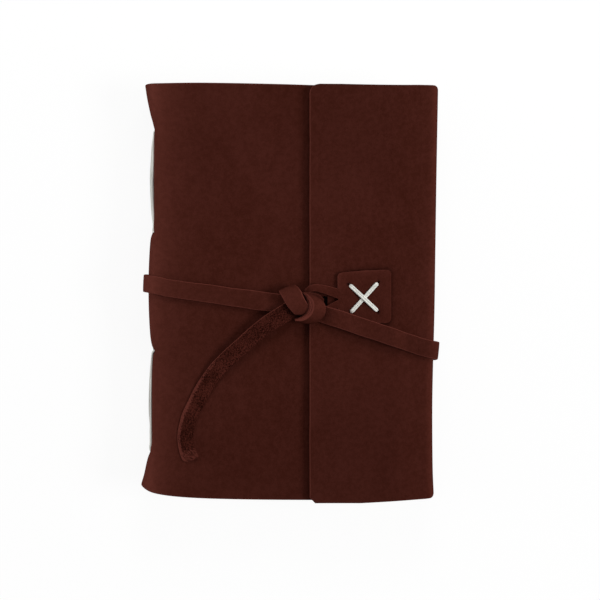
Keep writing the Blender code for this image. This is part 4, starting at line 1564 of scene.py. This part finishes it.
@dataclass
class Lace:
    """The tie: a flat lace from the knot round the spine, back and fore-edge to the knot again."""

    material: Material
    width: float = 8.5 * MM
    thickness: float = 2.0 * MM
    crown: float = 0.1 * MM
    wave: float = 0.12 * MM
    wave_length: float = 26.0 * MM
    wave_calm: float = 5.0 * MM
    wear_and_light: Pair = (0.8, 0.25)
    # Painted shade: the lace is darker towards the fore-edge, where the key lamp lights it more
    darkening: Ramp = Ramp(28.0 * MM, 22.0 * MM, 0.11)
    spine_y: float = 3.7 * MM
    spine_drop: float = 1.0 * MM
    spine_slope: float = -0.33
    spine_stand: float = 0.6 * MM
    left_slope: float = -0.140
    left_end: float = 5.0 * MM
    left_growth: float = 1.0 * MM
    left_climb: Ramp = Ramp(-9.0 * MM, 12.0 * MM, 2.6 * MM)
    right_start: Pair = (17.4 * MM, -10.9 * MM)
    right_end: float = 9.0 * MM
    patch_climb: Ramp = Ramp(14.0 * MM, 7.0 * MM)
    patch_fall: Ramp = Ramp(56.8 * MM, 8.5 * MM)
    fore_edge_y: float = -28.2 * MM
    fore_edge_drop: float = 0.3 * MM
    fore_edge_gap: float = 0.1 * MM
    fore_edge_stand: Pair = (0.9 * MM, 1.6)
    turn_reach: float = 9.0 * MM
    left_rows: int = 46
    back_rows: int = 50
    right_rows: int = 60

    def above(self, base: float) -> float:
        """Height of the lace's middle on a surface."""
        return base + GAP + 0.5 * self.thickness

    def run(
        self,
        path: Array,
        facing: Array,
        edges: Sequence[Edge],
        seed: int,
        growth: float = 0.0,
        stand: Share = 0.0,
    ) -> Shell:
        """A run whose rows lie along Y, so that the next run meets it flush.

        Args:
            path: The centreline; the run's width follows its slope.
            facing: XZ direction of the grain side, one or one for each row.
            edges: How its start and end close.
            seed: Draws the unevenness of the cut sides.
            growth: How much wider it is at its end.
            stand: How far its side towards the head stands off, or if negative the other side.

        Returns:
            The run's skin.
        """
        along = unit(np.gradient(path, axis=0))
        half = 0.5 * self.width / np.sqrt(1.0 - along[:, 1] ** 2)
        length = arc_length(path)
        half = half + 0.5 * growth * length / length[-1]
        ends = np.minimum(1.0, np.minimum(length, length[-1] - length) / self.wave_calm)
        facing = np.broadcast_to(facing, (len(path), 2))
        up = unit(joined(facing[:, 0], 0.0, facing[:, 1]))
        rails = []
        for sign, draw in ((1.0, seed), (-1.0, seed + 1)):
            reach = half + self.wave * ends * wander(length, self.wave_length, draw)
            off = np.maximum(sign * np.reshape(stand, (-1, 1)), 0.0)
            rails.append(path + sign * reach[:, None] * (0.0, 1.0, 0.0) + up * off)
        skin = strap(*rails, up, self.thickness, (*edges, CUT, CUT), self.crown)
        x = skin.points[:, 0]
        skin.wear_and_light = np.where(x < 0.0, *self.wear_and_light) * HANDLING.paled(skin.points)
        # Painted shade towards the fore-edge
        skin.hole = self.darkening.up(x)
        return skin

    def left_y(self, x: Array) -> Array:
        """Y of the left arm's middle."""
        return self.spine_y + self.left_slope * (x - SPINE.face_x)

    def right_slope(self) -> float:
        """Rise of the right arm for each metre towards the fore-edge."""
        start_x, start_y = self.right_start
        return (self.fore_edge_y - start_y) / (FORE_EDGE.face_x - start_x)

    def right_y(self, x: Array) -> Array:
        """Y of the right arm's middle."""
        return self.right_start[1] + self.right_slope() * (x - self.right_start[0])

    def back_slope(self) -> float:
        """Rise of the back run for each metre towards the fore-edge."""
        start = self.spine_y + self.spine_drop
        end = self.fore_edge_y - self.fore_edge_drop
        return (end - start) / (FORE_EDGE.face_x - SPINE.face_x)

    def back_y(self, x: Array) -> Array:
        """Y of the back run's middle."""
        return self.spine_y + self.spine_drop + self.back_slope() * (x - SPINE.face_x)

    def turned(self, length: Array, ends: Pair, slopes: Pair) -> Array:
        """Y of the lace round a bend: from each end it keeps its slope, which dies away.

        Args:
            length: Lengths round the bend, from 0.
            ends: Y at the start and at the end.
            slopes: Rise for each metre at the start and at the end.

        Returns:
            Y for each length, blended from the two ends.
        """
        reach = self.turn_reach
        left = length[-1] - length
        low = ends[0] + slopes[0] * reach * (1.0 - np.exp(-length / reach))
        high = ends[1] - slopes[1] * reach * (1.0 - np.exp(-left / reach))
        return low + (high - low) * smooth_step(length / length[-1])

    def parted(
        self, strips: Sequence[Array], path: Array, facing: Array, stand: Array, seed: int
    ) -> list[Shell]:
        """Parts a run round a bend into its strips.

        Args:
            strips: The strips' sections, which say how many rows each has.
            path: The centreline of the whole run.
            facing: XZ directions of the grain side, one for each row.
            stand: How far a side stands off, one for each row.
            seed: Draws the unevenness of the cut sides.

        Returns:
            The skin of each strip.
        """
        stops = np.cumsum([len(strip) for strip in strips])[:-1]
        parts = zip(*(np.split(whole, stops) for whole in (path, facing, stand)))
        return [self.run(rows, out, (SEAM, SEAM), seed, stand=off) for rows, out, off in parts]

    def left_arm(self) -> None:
        """The arm from the spine to the knot, on the front cover, rising as it goes in."""
        x = np.linspace(SPINE.seam_x, self.left_end, self.left_rows)
        z = self.above(FRONT_TOP) + self.left_climb.up(x)
        path = joined(x, self.left_y(x), z)
        skin = self.run(path, (0.0, 1.0), (SEAM, CUT), seed=71, growth=self.left_growth)
        piece = add_piece("lace_left_arm", [skin], self.material)
        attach(piece, "front")
        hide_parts("tie_left_arm")

    def spine_run(self) -> None:
        """The lace round the spine, one strip for each joint of the chain, on the sewn outline."""
        depth = -(GAP + 0.5 * self.thickness)
        strips = [SPINE.strip(k, depth) for k in range(GATHERINGS + 1)]
        inner = np.vstack([SPINE.strip(k, 0.0) for k in range(GATHERINGS + 1)])
        whole = np.vstack(strips)
        length = arc_length(whole)
        ends = (self.back_y(SPINE.seam_x), self.left_y(SPINE.seam_x))
        y = self.turned(length, ends, (-self.back_slope(), self.spine_slope))
        x = whole[:, 0] + SPINE.weight(inner[:, 0]) * (SPINE.face(y) - SPINE.face_x)
        path = joined(x, y, whole[:, 1])
        stand = -self.spine_stand * np.sin(math.pi * length / length[-1]) ** 2
        for number, skin in enumerate(self.parted(strips, path, whole - inner, stand, seed=73)):
            piece = add_piece(f"lace_spine_strip_{number + 1}", [skin], self.material)
            bend_with_spine(piece, number)
            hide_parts("tie_spine_run")

    def back_run(self) -> None:
        """The lace across the back cover, grain side down."""
        x = np.linspace(SPINE.seam_x, FORE_EDGE.low_seam, self.back_rows)
        path = joined(x, self.back_y(x), BACK_Z - GAP - 0.5 * self.thickness)
        skin = self.run(path, (0.0, -1.0), (SEAM, SEAM), seed=77)
        piece = add_piece("lace_back_run", [skin], self.material)
        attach(piece, "back")
        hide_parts("tie_back_run")

    def fold_run(self) -> None:
        """The lace up the fore-edge, in three strips: lower bend, wall and upper bend."""
        depth = -(self.fore_edge_gap + 0.5 * self.thickness)
        strips = [FORE_EDGE.strip(k, depth) for k in range(3)]
        inner = np.vstack([FORE_EDGE.strip(k, 0.0) for k in range(3)])
        whole = np.vstack(strips)
        length = arc_length(whole)
        ends = (self.back_y(FORE_EDGE.low_seam), self.right_y(FORE_EDGE.high_seam))
        y = self.turned(length, ends, (self.back_slope(), -self.right_slope()))
        x = whole[:, 0] + FORE_EDGE.lean(inner[:, 0], y)
        path = joined(x, y, whole[:, 1])
        height, power = self.fore_edge_stand
        stand = height * np.sin(math.pi * (length / length[-1]) ** power) ** 2
        for number, skin in enumerate(self.parted(strips, path, whole - inner, stand, seed=79)):
            piece = add_piece(f"lace_fold_strip_{number + 1}", [skin], self.material)
            bend_with_fold(piece, number)
            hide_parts("tie_fore_edge_run")

    def right_arm(self) -> None:
        """The arm from the knot to the fore-edge: over the patch's corner, then onto the flap."""
        x = np.linspace(self.right_end, FORE_EDGE.high_seam, self.right_rows)
        low, high = self.above(FLAP_TOP), self.above(PATCH_TOP)
        z = low + (high - low) * (self.patch_climb.up(x) * self.patch_fall.down(x))
        y = self.right_y(x)
        path = joined(x + FORE_EDGE.lean(x, y), y, z)
        skin = self.run(path, (0.0, 1.0), (CUT, SEAM), seed=83)
        piece = add_piece("lace_right_arm", [skin], self.material)
        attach(piece, "flap")
        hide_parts("tie_right_arm")

    def build(self) -> None:
        """Makes the lace from the left arm round to the right arm."""
        self.left_arm()
        self.spine_run()
        self.back_run()
        self.fold_run()
        self.right_arm()


# Rails of the tongue's two strands and of the lace's turn between them, upper and lower, in
# millimetres; heights are above the patch's mid surface
TONGUE_RAILS = (
    (
        ((22.5, 2.2, 0.0), (17.5, 3.5, 0.3), (12.0, 4.3, 1.2), (8.6, 3.6, 1.4), (6.4, 1.6, 0.9)),
        ((22.5, -3.0, 0.0), (18.6, -1.6, 0.2), (12.6, 0.5, 1.0), (9.4, 0.8, 1.3), (7.6, -0.2, 0.0)),
    ),
    (
        ((22.5, -3.2, 0.0), (19.6, -4.7, -0.1), (16.5, -6.6, -0.2), (13.0, -8.4, -0.2)),
        ((22.5, -7.4, 0.0), (19.0, -8.6, -0.1), (15.5, -10.2, -0.2), (12.0, -11.6, -0.2)),
    ),
    (
        ((4.4, 0.3, 2.0), (7.4, 0.4, 1.6), (10.6, 0.1, 0.8), (13.4, -0.9, 0.3), (15.1, -2.6, -0.5)),
        ((5.6, -3.0, 1.6), (8.0, -3.0, 1.4), (10.8, -3.6, 0.6), (13.1, -4.8, 0.0),
         (14.5, -6.4, -0.6)),
    ),
)


@dataclass
class Patch:
    """The square patch on the flap with its slit tongue, and the cross stitch that holds it."""

    leather: Material
    thread: Material
    thickness: float = 2.0 * MM
    rounding: float = 0.42 * MM
    step: float = 0.55 * MM
    span: float = 26.0 * MM
    root: Pair = (-7.4 * MM, 2.2 * MM)
    edge_wave: float = 0.1 * MM
    face_wave: float = 0.05 * MM
    holes: tuple[Pair, ...] = (
        (28.2 * MM, 3.7 * MM),
        (41.2 * MM, -8.5 * MM),
        (41.3 * MM, 4.6 * MM),
        (28.6 * MM, -9.3 * MM),
    )
    hole_radius: float = 0.92 * MM
    hole_shift: float = 0.1
    dent_share: float = 1.5
    dent_depth: float = 0.55 * MM
    edge_wear: Pair = (0.9, 2.2)
    right_shade: Ramp = Ramp(-2.5 * MM, 2.0 * MM)
    right_rim_shade: float = 0.8
    tongue_gap: float = 0.1 * MM
    tongue_crown: float = 0.12 * MM
    tongue_rows: int = 26
    turn_shade: float = 0.3
    # A sheet of painted shadow in the slot under the tongue
    slot_shadow_x: Pair = (14.8 * MM, 17.3 * MM)
    slot_shadow_y: Pair = (-6.2 * MM, -1.6 * MM)
    slot_shadow_z: float = FLAP_TOP + 0.95 * MM
    strand: float = 0.53 * MM
    pitch: float = 3.4 * MM
    apart: Pair = (0.32, 0.56)
    cross_lift: float = 1.05 * MM
    stitch_samples: int = 90

    def middle_z(self) -> float:
        """Height of the patch's mid surface."""
        return PATCH_Z + 0.5 * self.thickness

    def square(self) -> Shell:
        """The patch: rows from foot to head between the sides, drawn in at the four corners.

        Returns:
            The patch's skin, dented and dark at its stitch holes, with painted shade on its right
            edge.
        """
        height = PATCH.head[0] - PATCH.foot - 2.0 * self.rounding
        rows = PATCH.foot + self.rounding + spaced(height, self.step, CUT, CUT)
        inner = PATCH.radius - self.rounding
        corner = rounded(inner, inner - np.minimum(rows - rows[0], rows[-1] - rows))
        low = PATCH.left + self.rounding + corner
        high = PATCH.right - self.rounding - corner
        share = spaced(self.span, self.step, CUT, CUT)[:, None] / self.span
        x = low[None, :] + share * (high - low)[None, :]
        level = np.broadcast_to(rows[None, :], x.shape)
        y = level + PATCH.climb(x, level) + self.edge_wave * wander(x, 9.0 * MM, seed=91)
        holes = np.array(self.holes)
        marks = holes + self.hole_shift * (holes - holes.mean(axis=0))
        away = np.stack([(x - a) ** 2 + (y - b) ** 2 for a, b in marks]).min(axis=0)
        dent = self.dent_depth * np.exp(-away / (self.dent_share * self.hole_radius) ** 2)
        hole = np.exp(-((away / self.hole_radius**2) ** 3))
        z = self.middle_z() - dent + self.face_wave * wander(x + 0.6 * y, 16.0 * MM, seed=93)
        middle = joined(x, y, z)
        tongue = ((rows > self.root[0]) & (rows < self.root[1])).astype(float)
        edges = (1.0 - tongue, CUT, CUT, CUT)
        skin = slab(middle, facing_of(middle), self.thickness, edges, self.rounding, hole=hole)
        # Painted shade on the patch's right edge: its wear and paler rim fade out there
        right = self.right_shade.up(skin.points[:, 0] - PATCH.right)
        depth, gain = self.edge_wear
        skin.wear_and_light = depth * np.minimum(1.0, gain * skin.rim) * (1.0 - right)
        skin.rim = skin.rim * (1.0 - self.right_rim_shade * right)
        return skin

    def tongue(self) -> list[Shell]:
        """The tongue's two strands, over the slit and under it, and the lace's turn in between.

        Returns:
            Their skins, and the painted slot shadow's.
        """
        skins = []
        for number, pair in enumerate(TONGUE_RAILS):
            curves = (curve_through(rail, self.tongue_rows) for rail in pair)
            upper, lower = (curve * MM + UP * self.middle_z() for curve in curves)
            turn = number == 2
            edges = (CUT if turn else SEAM, CUT, CUT, CUT)
            thickness = self.thickness - self.tongue_gap
            skin = strap(upper, lower, UP, thickness, edges, self.tongue_crown)
            if turn:
                skin.hole = np.full(len(skin.points), self.turn_shade)
            skins.append(skin)
        return [*skins, self.slot_shadow()]

    def slot_shadow(self) -> Shell:
        """A thin sheet of painted shadow on the flap under the tongue, where the slot is dark.

        Returns:
            The painted shadow's skin.
        """
        columns, rows = np.linspace(*self.slot_shadow_x, 9), np.linspace(*self.slot_shadow_y, 15)
        x, y = np.meshgrid(columns, rows, indexing="ij")
        middle = joined(x, y, self.slot_shadow_z)
        shade = np.ones_like(x)
        return slab(middle, facing_of(middle), 0.3 * MM, rounding=0.1 * MM, steps=2, hole=shade)

    def stitch(self, name: str, ends: Sequence[Pair], lift: float) -> None:
        """One arm of the cross: two strands up through a hole, across and down through the other.

        Args:
            name: The piece's name.
            ends: The two holes.
            lift: How far the middle stands up, where the arm crosses the other.
        """
        start, end = (np.array((*hole, 0.0)) for hole in ends)
        along = unit(end - start)
        quarter = 0.25 * float(np.linalg.norm(end - start))
        top = PATCH_TOP + 0.75 * self.strand
        # Distance from the hole and height, from under the flap to a quarter of the way across
        climb = (
            (0.0, FLAP_Z + 0.4 * MM),
            (0.0, PATCH_Z + 0.8 * MM),
            (0.27 * MM, PATCH_TOP - 0.1 * MM),
            (1.17 * MM, top),
            (quarter, top + 0.3 * lift),
        )
        points = [start + along * away + UP * height for away, height in climb]
        points.append(0.5 * (start + end) + UP * (top + lift))
        points += [end - along * away + UP * height for away, height in climb[::-1]]
        path = curve_through(points, self.stitch_samples)
        square = np.cross(UP, along)
        flat = smooth_step((path[:, 2] - PATCH_TOP + 0.6 * MM) / (0.8 * MM))
        shift = ((self.apart[0] + self.apart[1] * flat) * self.strand)[:, None] * square
        paths = (path - shift, path + shift)
        skins = [twisted(strand, square, self.strand, self.pitch, sides=10) for strand in paths]
        piece = add_piece(name, skins, self.thread)
        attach(piece, "flap")
        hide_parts(name.replace("stitch_arm", "cross_stitch"))

    def build(self) -> None:
        """Makes the patch with its tongue and the two arms of the cross."""
        skins = [self.square(), *self.tongue()]
        piece = add_piece("patch_and_tongue", skins, self.leather)
        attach(piece, "flap")
        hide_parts("tie_patch")
        self.stitch("stitch_arm_under", self.holes[2:], 0.0)
        self.stitch("stitch_arm_over", self.holes[:2], self.cross_lift)


@dataclass
class Knot:
    """The hitch: a band folded over from the left arm, a collar turned round it, and the tail.

    The rails and the tail's route are in millimetres.
    """

    lace: Material
    suede: Material
    width: float = 8.5 * MM
    thickness: float = 2.0 * MM
    band_left: tuple[Point, ...] = (
        (-5.2, -0.8, 30.6), (-5.9, -0.1, 32.0), (-6.0, 0.1, 33.6), (-5.4, -0.8, 34.9),
        (-4.3, -2.8, 35.6), (-2.6, -5.8, 35.9), (-0.3, -8.6, 35.5), (2.2, -10.9, 34.4),
        (4.2, -12.4, 32.2),
    )
    band_right: tuple[Point, ...] = (
        (2.0, 2.0, 30.6), (1.7, 2.9, 32.0), (2.0, 3.1, 33.6), (3.4, 2.2, 34.9),
        (4.6, 0.6, 35.8), (5.5, -1.5, 36.3), (6.8, -3.9, 36.2), (8.4, -6.3, 35.8),
        (9.6, -8.6, 33.8),
    )
    rim: tuple[Point, ...] = (
        (5.4, -0.6, 34.8), (7.4, -1.8, 36.6), (9.2, -3.6, 38.0), (10.0, -6.2, 38.6),
        (9.6, -8.6, 38.4), (8.2, -10.6, 37.8), (6.2, -12.0, 36.9), (4.0, -12.8, 35.6),
        (1.7, -13.1, 34.2),
    )
    skirt: tuple[Point, ...] = (
        (7.6, -1.0, 32.6), (10.4, -2.4, 33.4), (13.2, -3.6, 33.9), (15.4, -5.6, 34.2),
        (15.9, -8.3, 34.1), (15.0, -11.0, 33.4), (12.2, -13.4, 32.2), (8.2, -14.1, 31.2),
        (3.0, -13.8, 30.6),
    )
    lining: tuple[Point, ...] = (
        (4.6, -0.4, 34.4), (5.9, -2.2, 35.4), (7.0, -4.2, 35.9), (7.6, -6.4, 35.7),
        (7.2, -8.6, 35.0), (5.6, -10.4, 34.3), (3.4, -11.6, 33.6),
    )
    tail_route: tuple[Point, ...] = (
        (-1.7, -8.9, 32.2), (-6.0, -11.6, 32.3), (-10.6, -14.4, 32.0), (-16.4, -18.8, 31.6),
        (-22.3, -24.0, 31.0), (-28.6, -29.6, 30.4), (-34.7, -35.5, 29.9), (-38.2, -39.7, 29.7),
        (-41.3, -44.2, 29.5), (-44.2, -49.0, 29.4), (-46.8, -54.0, 29.3), (-48.7, -58.0, 29.3),
        (-50.2, -62.0, 29.3), (-51.6, -69.0, 29.3), (-51.0, -75.8, 29.3), (-49.0, -81.3, 29.3),
    )
    rail_samples: int = 60
    band_crown: float = 0.35 * MM
    # Painted light: the band is paled all over
    band_light: float = 0.16
    band_shade: Ramp = Ramp(0.76, 0.05, 0.95)
    band_bow: float = 0.36
    collar_crown: float = 0.5 * MM
    collar_lean: float = 0.8
    collar_skive: Ramp = Ramp(0.78, 0.22, 0.65)
    skived_rounding: float = 0.2 * MM
    lining_inset: float = 0.5 * MM
    lining_shade: Ramp = Ramp(0.7 * MM, 2.0 * MM)
    lining_depth: float = 0.92
    tail_samples: int = 190
    tail_root: float = 4.6 * MM
    tail_roll: tuple[float, ...] = (8.0, 8.0, 5.0, 1.0, 0.0)
    tail_radii: Pair = (2.6 * MM, 0.7 * MM)
    tail_taper: tuple[Pair, ...] = ((0.0, 1.08), (0.3, 1.0), (0.75, 0.96), (1.0, 0.98))
    tail_cut: Point = (0.5, 0.75, 0.25)
    tail_wave: float = 0.07 * MM
    tail_thin: Ramp = Ramp(0.35, 0.3)
    tail_thinning: Pair = (0.9, 0.85)
    tail_thin_side: Ramp = Ramp(0.0, 2.6 * MM)
    tail_drop: float = 0.22 * MM
    pale_wave: float = 0.45 * MM
    pale_side: Ramp = Ramp(0.9 * MM, 1.3 * MM)
    pale_side_depth: float = 0.72
    pale_start: Ramp = Ramp(0.3, 0.35)
    pale_end: Ramp = Ramp(-8.5 * MM, 5.0 * MM, 0.46)

    def tail_rails(self, path: Array) -> tuple[Array, Array, Array]:
        """The tail's two rails, rounded at its end, and the directions of its flesh side.

        Args:
            path: The centreline.

        Returns:
            The left rail, the right rail and the directions, one row for each point.
        """
        tangent = unit(np.gradient(path, axis=0))
        across = unit(np.cross(UP, tangent))
        length = arc_length(path)
        share = length / length[-1]
        half = 0.5 * self.width * np.interp(share, *zip(*self.tail_taper))
        half = half + self.tail_wave * wander(length, 15.0 * MM, seed=101)
        drawn = []
        for radius in self.tail_radii:
            reach = np.clip(radius - length[-1] + length, 0.0, 0.96 * radius)
            drawn.append((half - radius + np.sqrt(radius**2 - reach**2))[:, None])
        stops = np.linspace(0.0, 1.0, len(self.tail_roll))
        roll = np.radians(np.interp(share, stops, self.tail_roll))[:, None]
        rolled = across * np.cos(roll) - np.cross(tangent, across) * np.sin(roll)
        return path - rolled * drawn[0], path + rolled * drawn[1], np.cross(tangent, rolled)

    def thin_and_pale_tail(self, skin: Shell, path: Array, flesh_side: Array) -> None:
        """Thins the tail's lower half, most at its left edge, and pales that edge and the end.

        Args:
            skin: The tail's skin, which is changed.
            path: The centreline.
            flesh_side: Directions of the flesh side along the path.
        """
        length = arc_length(path)
        across = skin.uv[:, 1]
        nearest = np.sum((skin.points[:, None] - path) ** 2, axis=2).argmin(axis=1)
        along = length[nearest]
        share = along / length[-1]
        lower = self.tail_thin.up(share)
        face, edge = self.tail_thinning
        thin = lower * (face + edge * (1.0 - self.tail_thin_side.up(across))) * MM
        drop = thin * skin.flesh + self.tail_drop * lower
        skin.points = skin.points - flesh_side[nearest] * drop[:, None]
        ragged = across + self.pale_wave * wander(along, 1.1 * MM, seed=103)
        side = self.pale_side_depth * (1.0 - self.pale_side.up(ragged)) * self.pale_start.up(share)
        skin.wear_and_light = np.maximum(side, self.pale_end.up(along - length[-1]))

    def tail(self) -> None:
        """The free end, flesh side up: a flat section along its route, rolled onto one edge."""
        path = curve_through(self.tail_route, self.tail_samples) * MM
        length = arc_length(path)
        left, right, flesh_side = self.tail_rails(path)
        end_cut, root_cut, right_cut = self.tail_cut
        left_cut = root_cut + (1.0 - root_cut) * length / length[-1]
        edges = (SEAM, np.array(end_cut), left_cut, np.full(len(path), right_cut))
        skin = strap(left, right, -flesh_side, self.thickness, edges)
        self.thin_and_pale_tail(skin, path, flesh_side)
        piece = add_piece("lace_tail", [skin], self.suede)
        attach(piece, "flap")
        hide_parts("tie_tail")
        back = -unit(path[1] - path[0]) * np.linspace(self.tail_root, 0.0, 8)[:, None]
        edges = (CUT, SEAM, CUT, CUT)
        skin = strap(left[0] + back, right[0] + back, -flesh_side[0], self.thickness, edges)
        root = add_piece("lace_tail_root", [skin], self.suede)
        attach(root, "flap")
        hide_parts("tie_knot")

    def rail(self, points: Sequence[Point]) -> Array:
        """A smooth rail through points in millimetres."""
        return curve_through(points, self.rail_samples) * MM

    def hitch(self) -> None:
        """The band, the collar and the collar's flesh side turned in, each between two rails."""
        left, right = self.rail(self.band_left), self.rail(self.band_right)
        band = strap(left, right, UP, self.thickness, crown=self.band_crown)
        # Painted light on the band, paler all over
        band.wear_and_light = np.full(len(band.points), self.band_light)
        share, side = band.uv.T / band.uv.max(axis=0)[:, None]
        band.hole = self.band_shade.up(share - self.band_bow * side * (1.0 - side))
        rim, skirt = self.rail(self.rim), self.rail(self.skirt)
        outward = unit(skirt - rim) * (1.0, 1.0, 0.0) + self.collar_lean * UP
        along = np.linspace(0.0, 1.0, self.rail_samples)[:, None]
        skived = self.thickness * (1.0 - self.collar_skive.up(along))
        rounding = self.skived_rounding
        collar = strap(rim, skirt, outward, skived, crown=self.collar_crown, rounding=rounding)
        inner, turned = self.rail(self.lining), rim - self.lining_inset * outward
        lining = strap(inner, turned, -UP, 0.5 * self.thickness, rounding=rounding)
        lining.hole = self.lining_depth * (1.0 - self.lining_shade.up(lining.uv[:, 1]))
        piece = add_piece("lace_hitch", [band, collar, lining], self.lace)
        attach(piece, "flap")
        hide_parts("tie_knot")

    def build(self) -> None:
        """Makes the tail first, then the hitch."""
        self.tail()
        self.hitch()


@dataclass(frozen=True)
class Lamp:
    """A square area lamp: where it stands, its side and its power in watts."""

    name: str
    place: Point
    size: float
    power: float

    def build(self) -> None:
        """Sets the lamp up so that it faces the journal."""
        data = bpy.data.lights.new(self.name, "AREA")
        data.size = self.size
        data.energy = self.power
        lamp = bpy.data.objects.new(self.name, data)
        lamp.location = self.place
        x, y, z = self.place
        tilt, turn = math.atan2(math.hypot(x, y), z), math.atan2(y, x) + 0.5 * math.pi
        lamp.rotation_euler = (tilt, 0.0, turn)
        bpy.context.scene.collection.objects.link(lamp)


@dataclass
class Studio:
    """The camera over the journal, soft light from the head and the right, and a white floor."""

    centre: Pair = (3.9 * MM, -3.4 * MM)
    height: float = 0.808
    lens: float = 96.1
    fill: float = 0.245
    lamps: tuple[Lamp, ...] = (
        Lamp("key", (1.7, -0.2, 1.55), 0.8, 23.4),
        Lamp("head", (0.05, 0.5, 0.45), 0.3, 1.2),
        Lamp("left", (-1.0, 0.0, 0.16), 0.4, 3.5),
        Lamp("right", (1.0, 0.0, 0.16), 0.4, 2.4),
    )
    floor_reach: float = 3.0
    floor_z: float = -0.02 * MM
    floor_points: int = 5
    floor_paint: Colour = (0.7, 0.7, 0.7)
    floor_shade: float = 0.1
    floor_glow: float = 0.92

    def camera(self) -> None:
        """A camera that looks straight down."""
        data = bpy.data.cameras.new("camera")
        data.lens = self.lens
        eye = bpy.data.objects.new("camera", data)
        eye.location = (*self.centre, self.height)
        bpy.context.scene.collection.objects.link(eye)
        bpy.context.scene.camera = eye

    @staticmethod
    def seen(g: Graph, other: str) -> Wire:
        """1 for rays from the camera and for one other kind of ray."""
        rays = g.node("LightPath").outputs
        return g.math("MAXIMUM", rays["Is Camera Ray"], rays[other])

    def world(self) -> None:
        """An even fill that the camera sees as white."""
        world = bpy.data.worlds.new("studio")
        world.use_nodes = True
        g = Graph(world.node_tree)
        back = world.node_tree.nodes["Background"]
        seen = self.seen(g, "Is Transmission Ray")
        g.feed(back.inputs["Strength"], g.blend(seen, self.fill, 1.0))
        g.feed(back.inputs["Color"], (1.0, 1.0, 1.0))
        bpy.context.scene.world = world

    def floor(self) -> None:
        """A level white floor with a faint shadow: part glow for the camera, part matt paint."""
        span = np.linspace(-self.floor_reach, self.floor_reach, self.floor_points)
        x, y = np.meshgrid(span, span, indexing="ij")
        points = joined(x, y, self.floor_z).reshape(-1, 3)
        quads = grid_quads(np.arange(x.size).reshape(x.shape))
        mesh = bpy.data.meshes.new("floor")
        mesh.from_pydata(points.tolist(), [], quads.tolist())
        paint, g, shader = new_material("floor_paint")
        seen = self.seen(g, "Is Glossy Ray")
        g.feed(shader.inputs["Base Color"], g.mix(seen, self.floor_paint, (self.floor_shade,) * 3))
        g.feed(shader.inputs["Roughness"], 1.0)
        g.feed(shader.inputs["Specular IOR Level"], 0.0)
        g.feed(shader.inputs["Emission Color"], (1.0, 1.0, 1.0))
        g.feed(shader.inputs["Emission Strength"], g.times(seen, self.floor_glow))
        mesh.materials.append(paint)
        ground = bpy.data.objects.new("floor", mesh)
        bpy.context.scene.collection.objects.link(ground)

    def build(self) -> None:
        """Sets the studio up."""
        bpy.context.scene.view_settings.view_transform = "Standard"
        self.camera()
        for lamp in self.lamps:
            lamp.build()
        self.world()
        self.floor()


def main() -> None:
    """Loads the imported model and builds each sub-assembly in order."""
    logging.basicConfig(level=logging.INFO, format="%(name)s %(message)s")
    for old in list(bpy.data.objects):
        bpy.data.objects.remove(old, do_unlink=True)
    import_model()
    Studio().build()
    effects = Effects()
    cover = COVER_LEATHER.material(effects)
    lace = LACE_LEATHER.material(effects)
    thread = WAXED_THREAD.material(effects)
    Knot(lace, TAIL_SUEDE.material(effects)).build()
    Hide(cover).build()
    TextBlock(PAGE_PAPER.material(effects)).build()
    Sewing(thread).build()
    Lace(lace).build()
    Patch(PATCH_LEATHER.material(effects), thread).build()


if __name__ == "__main__":
    main()
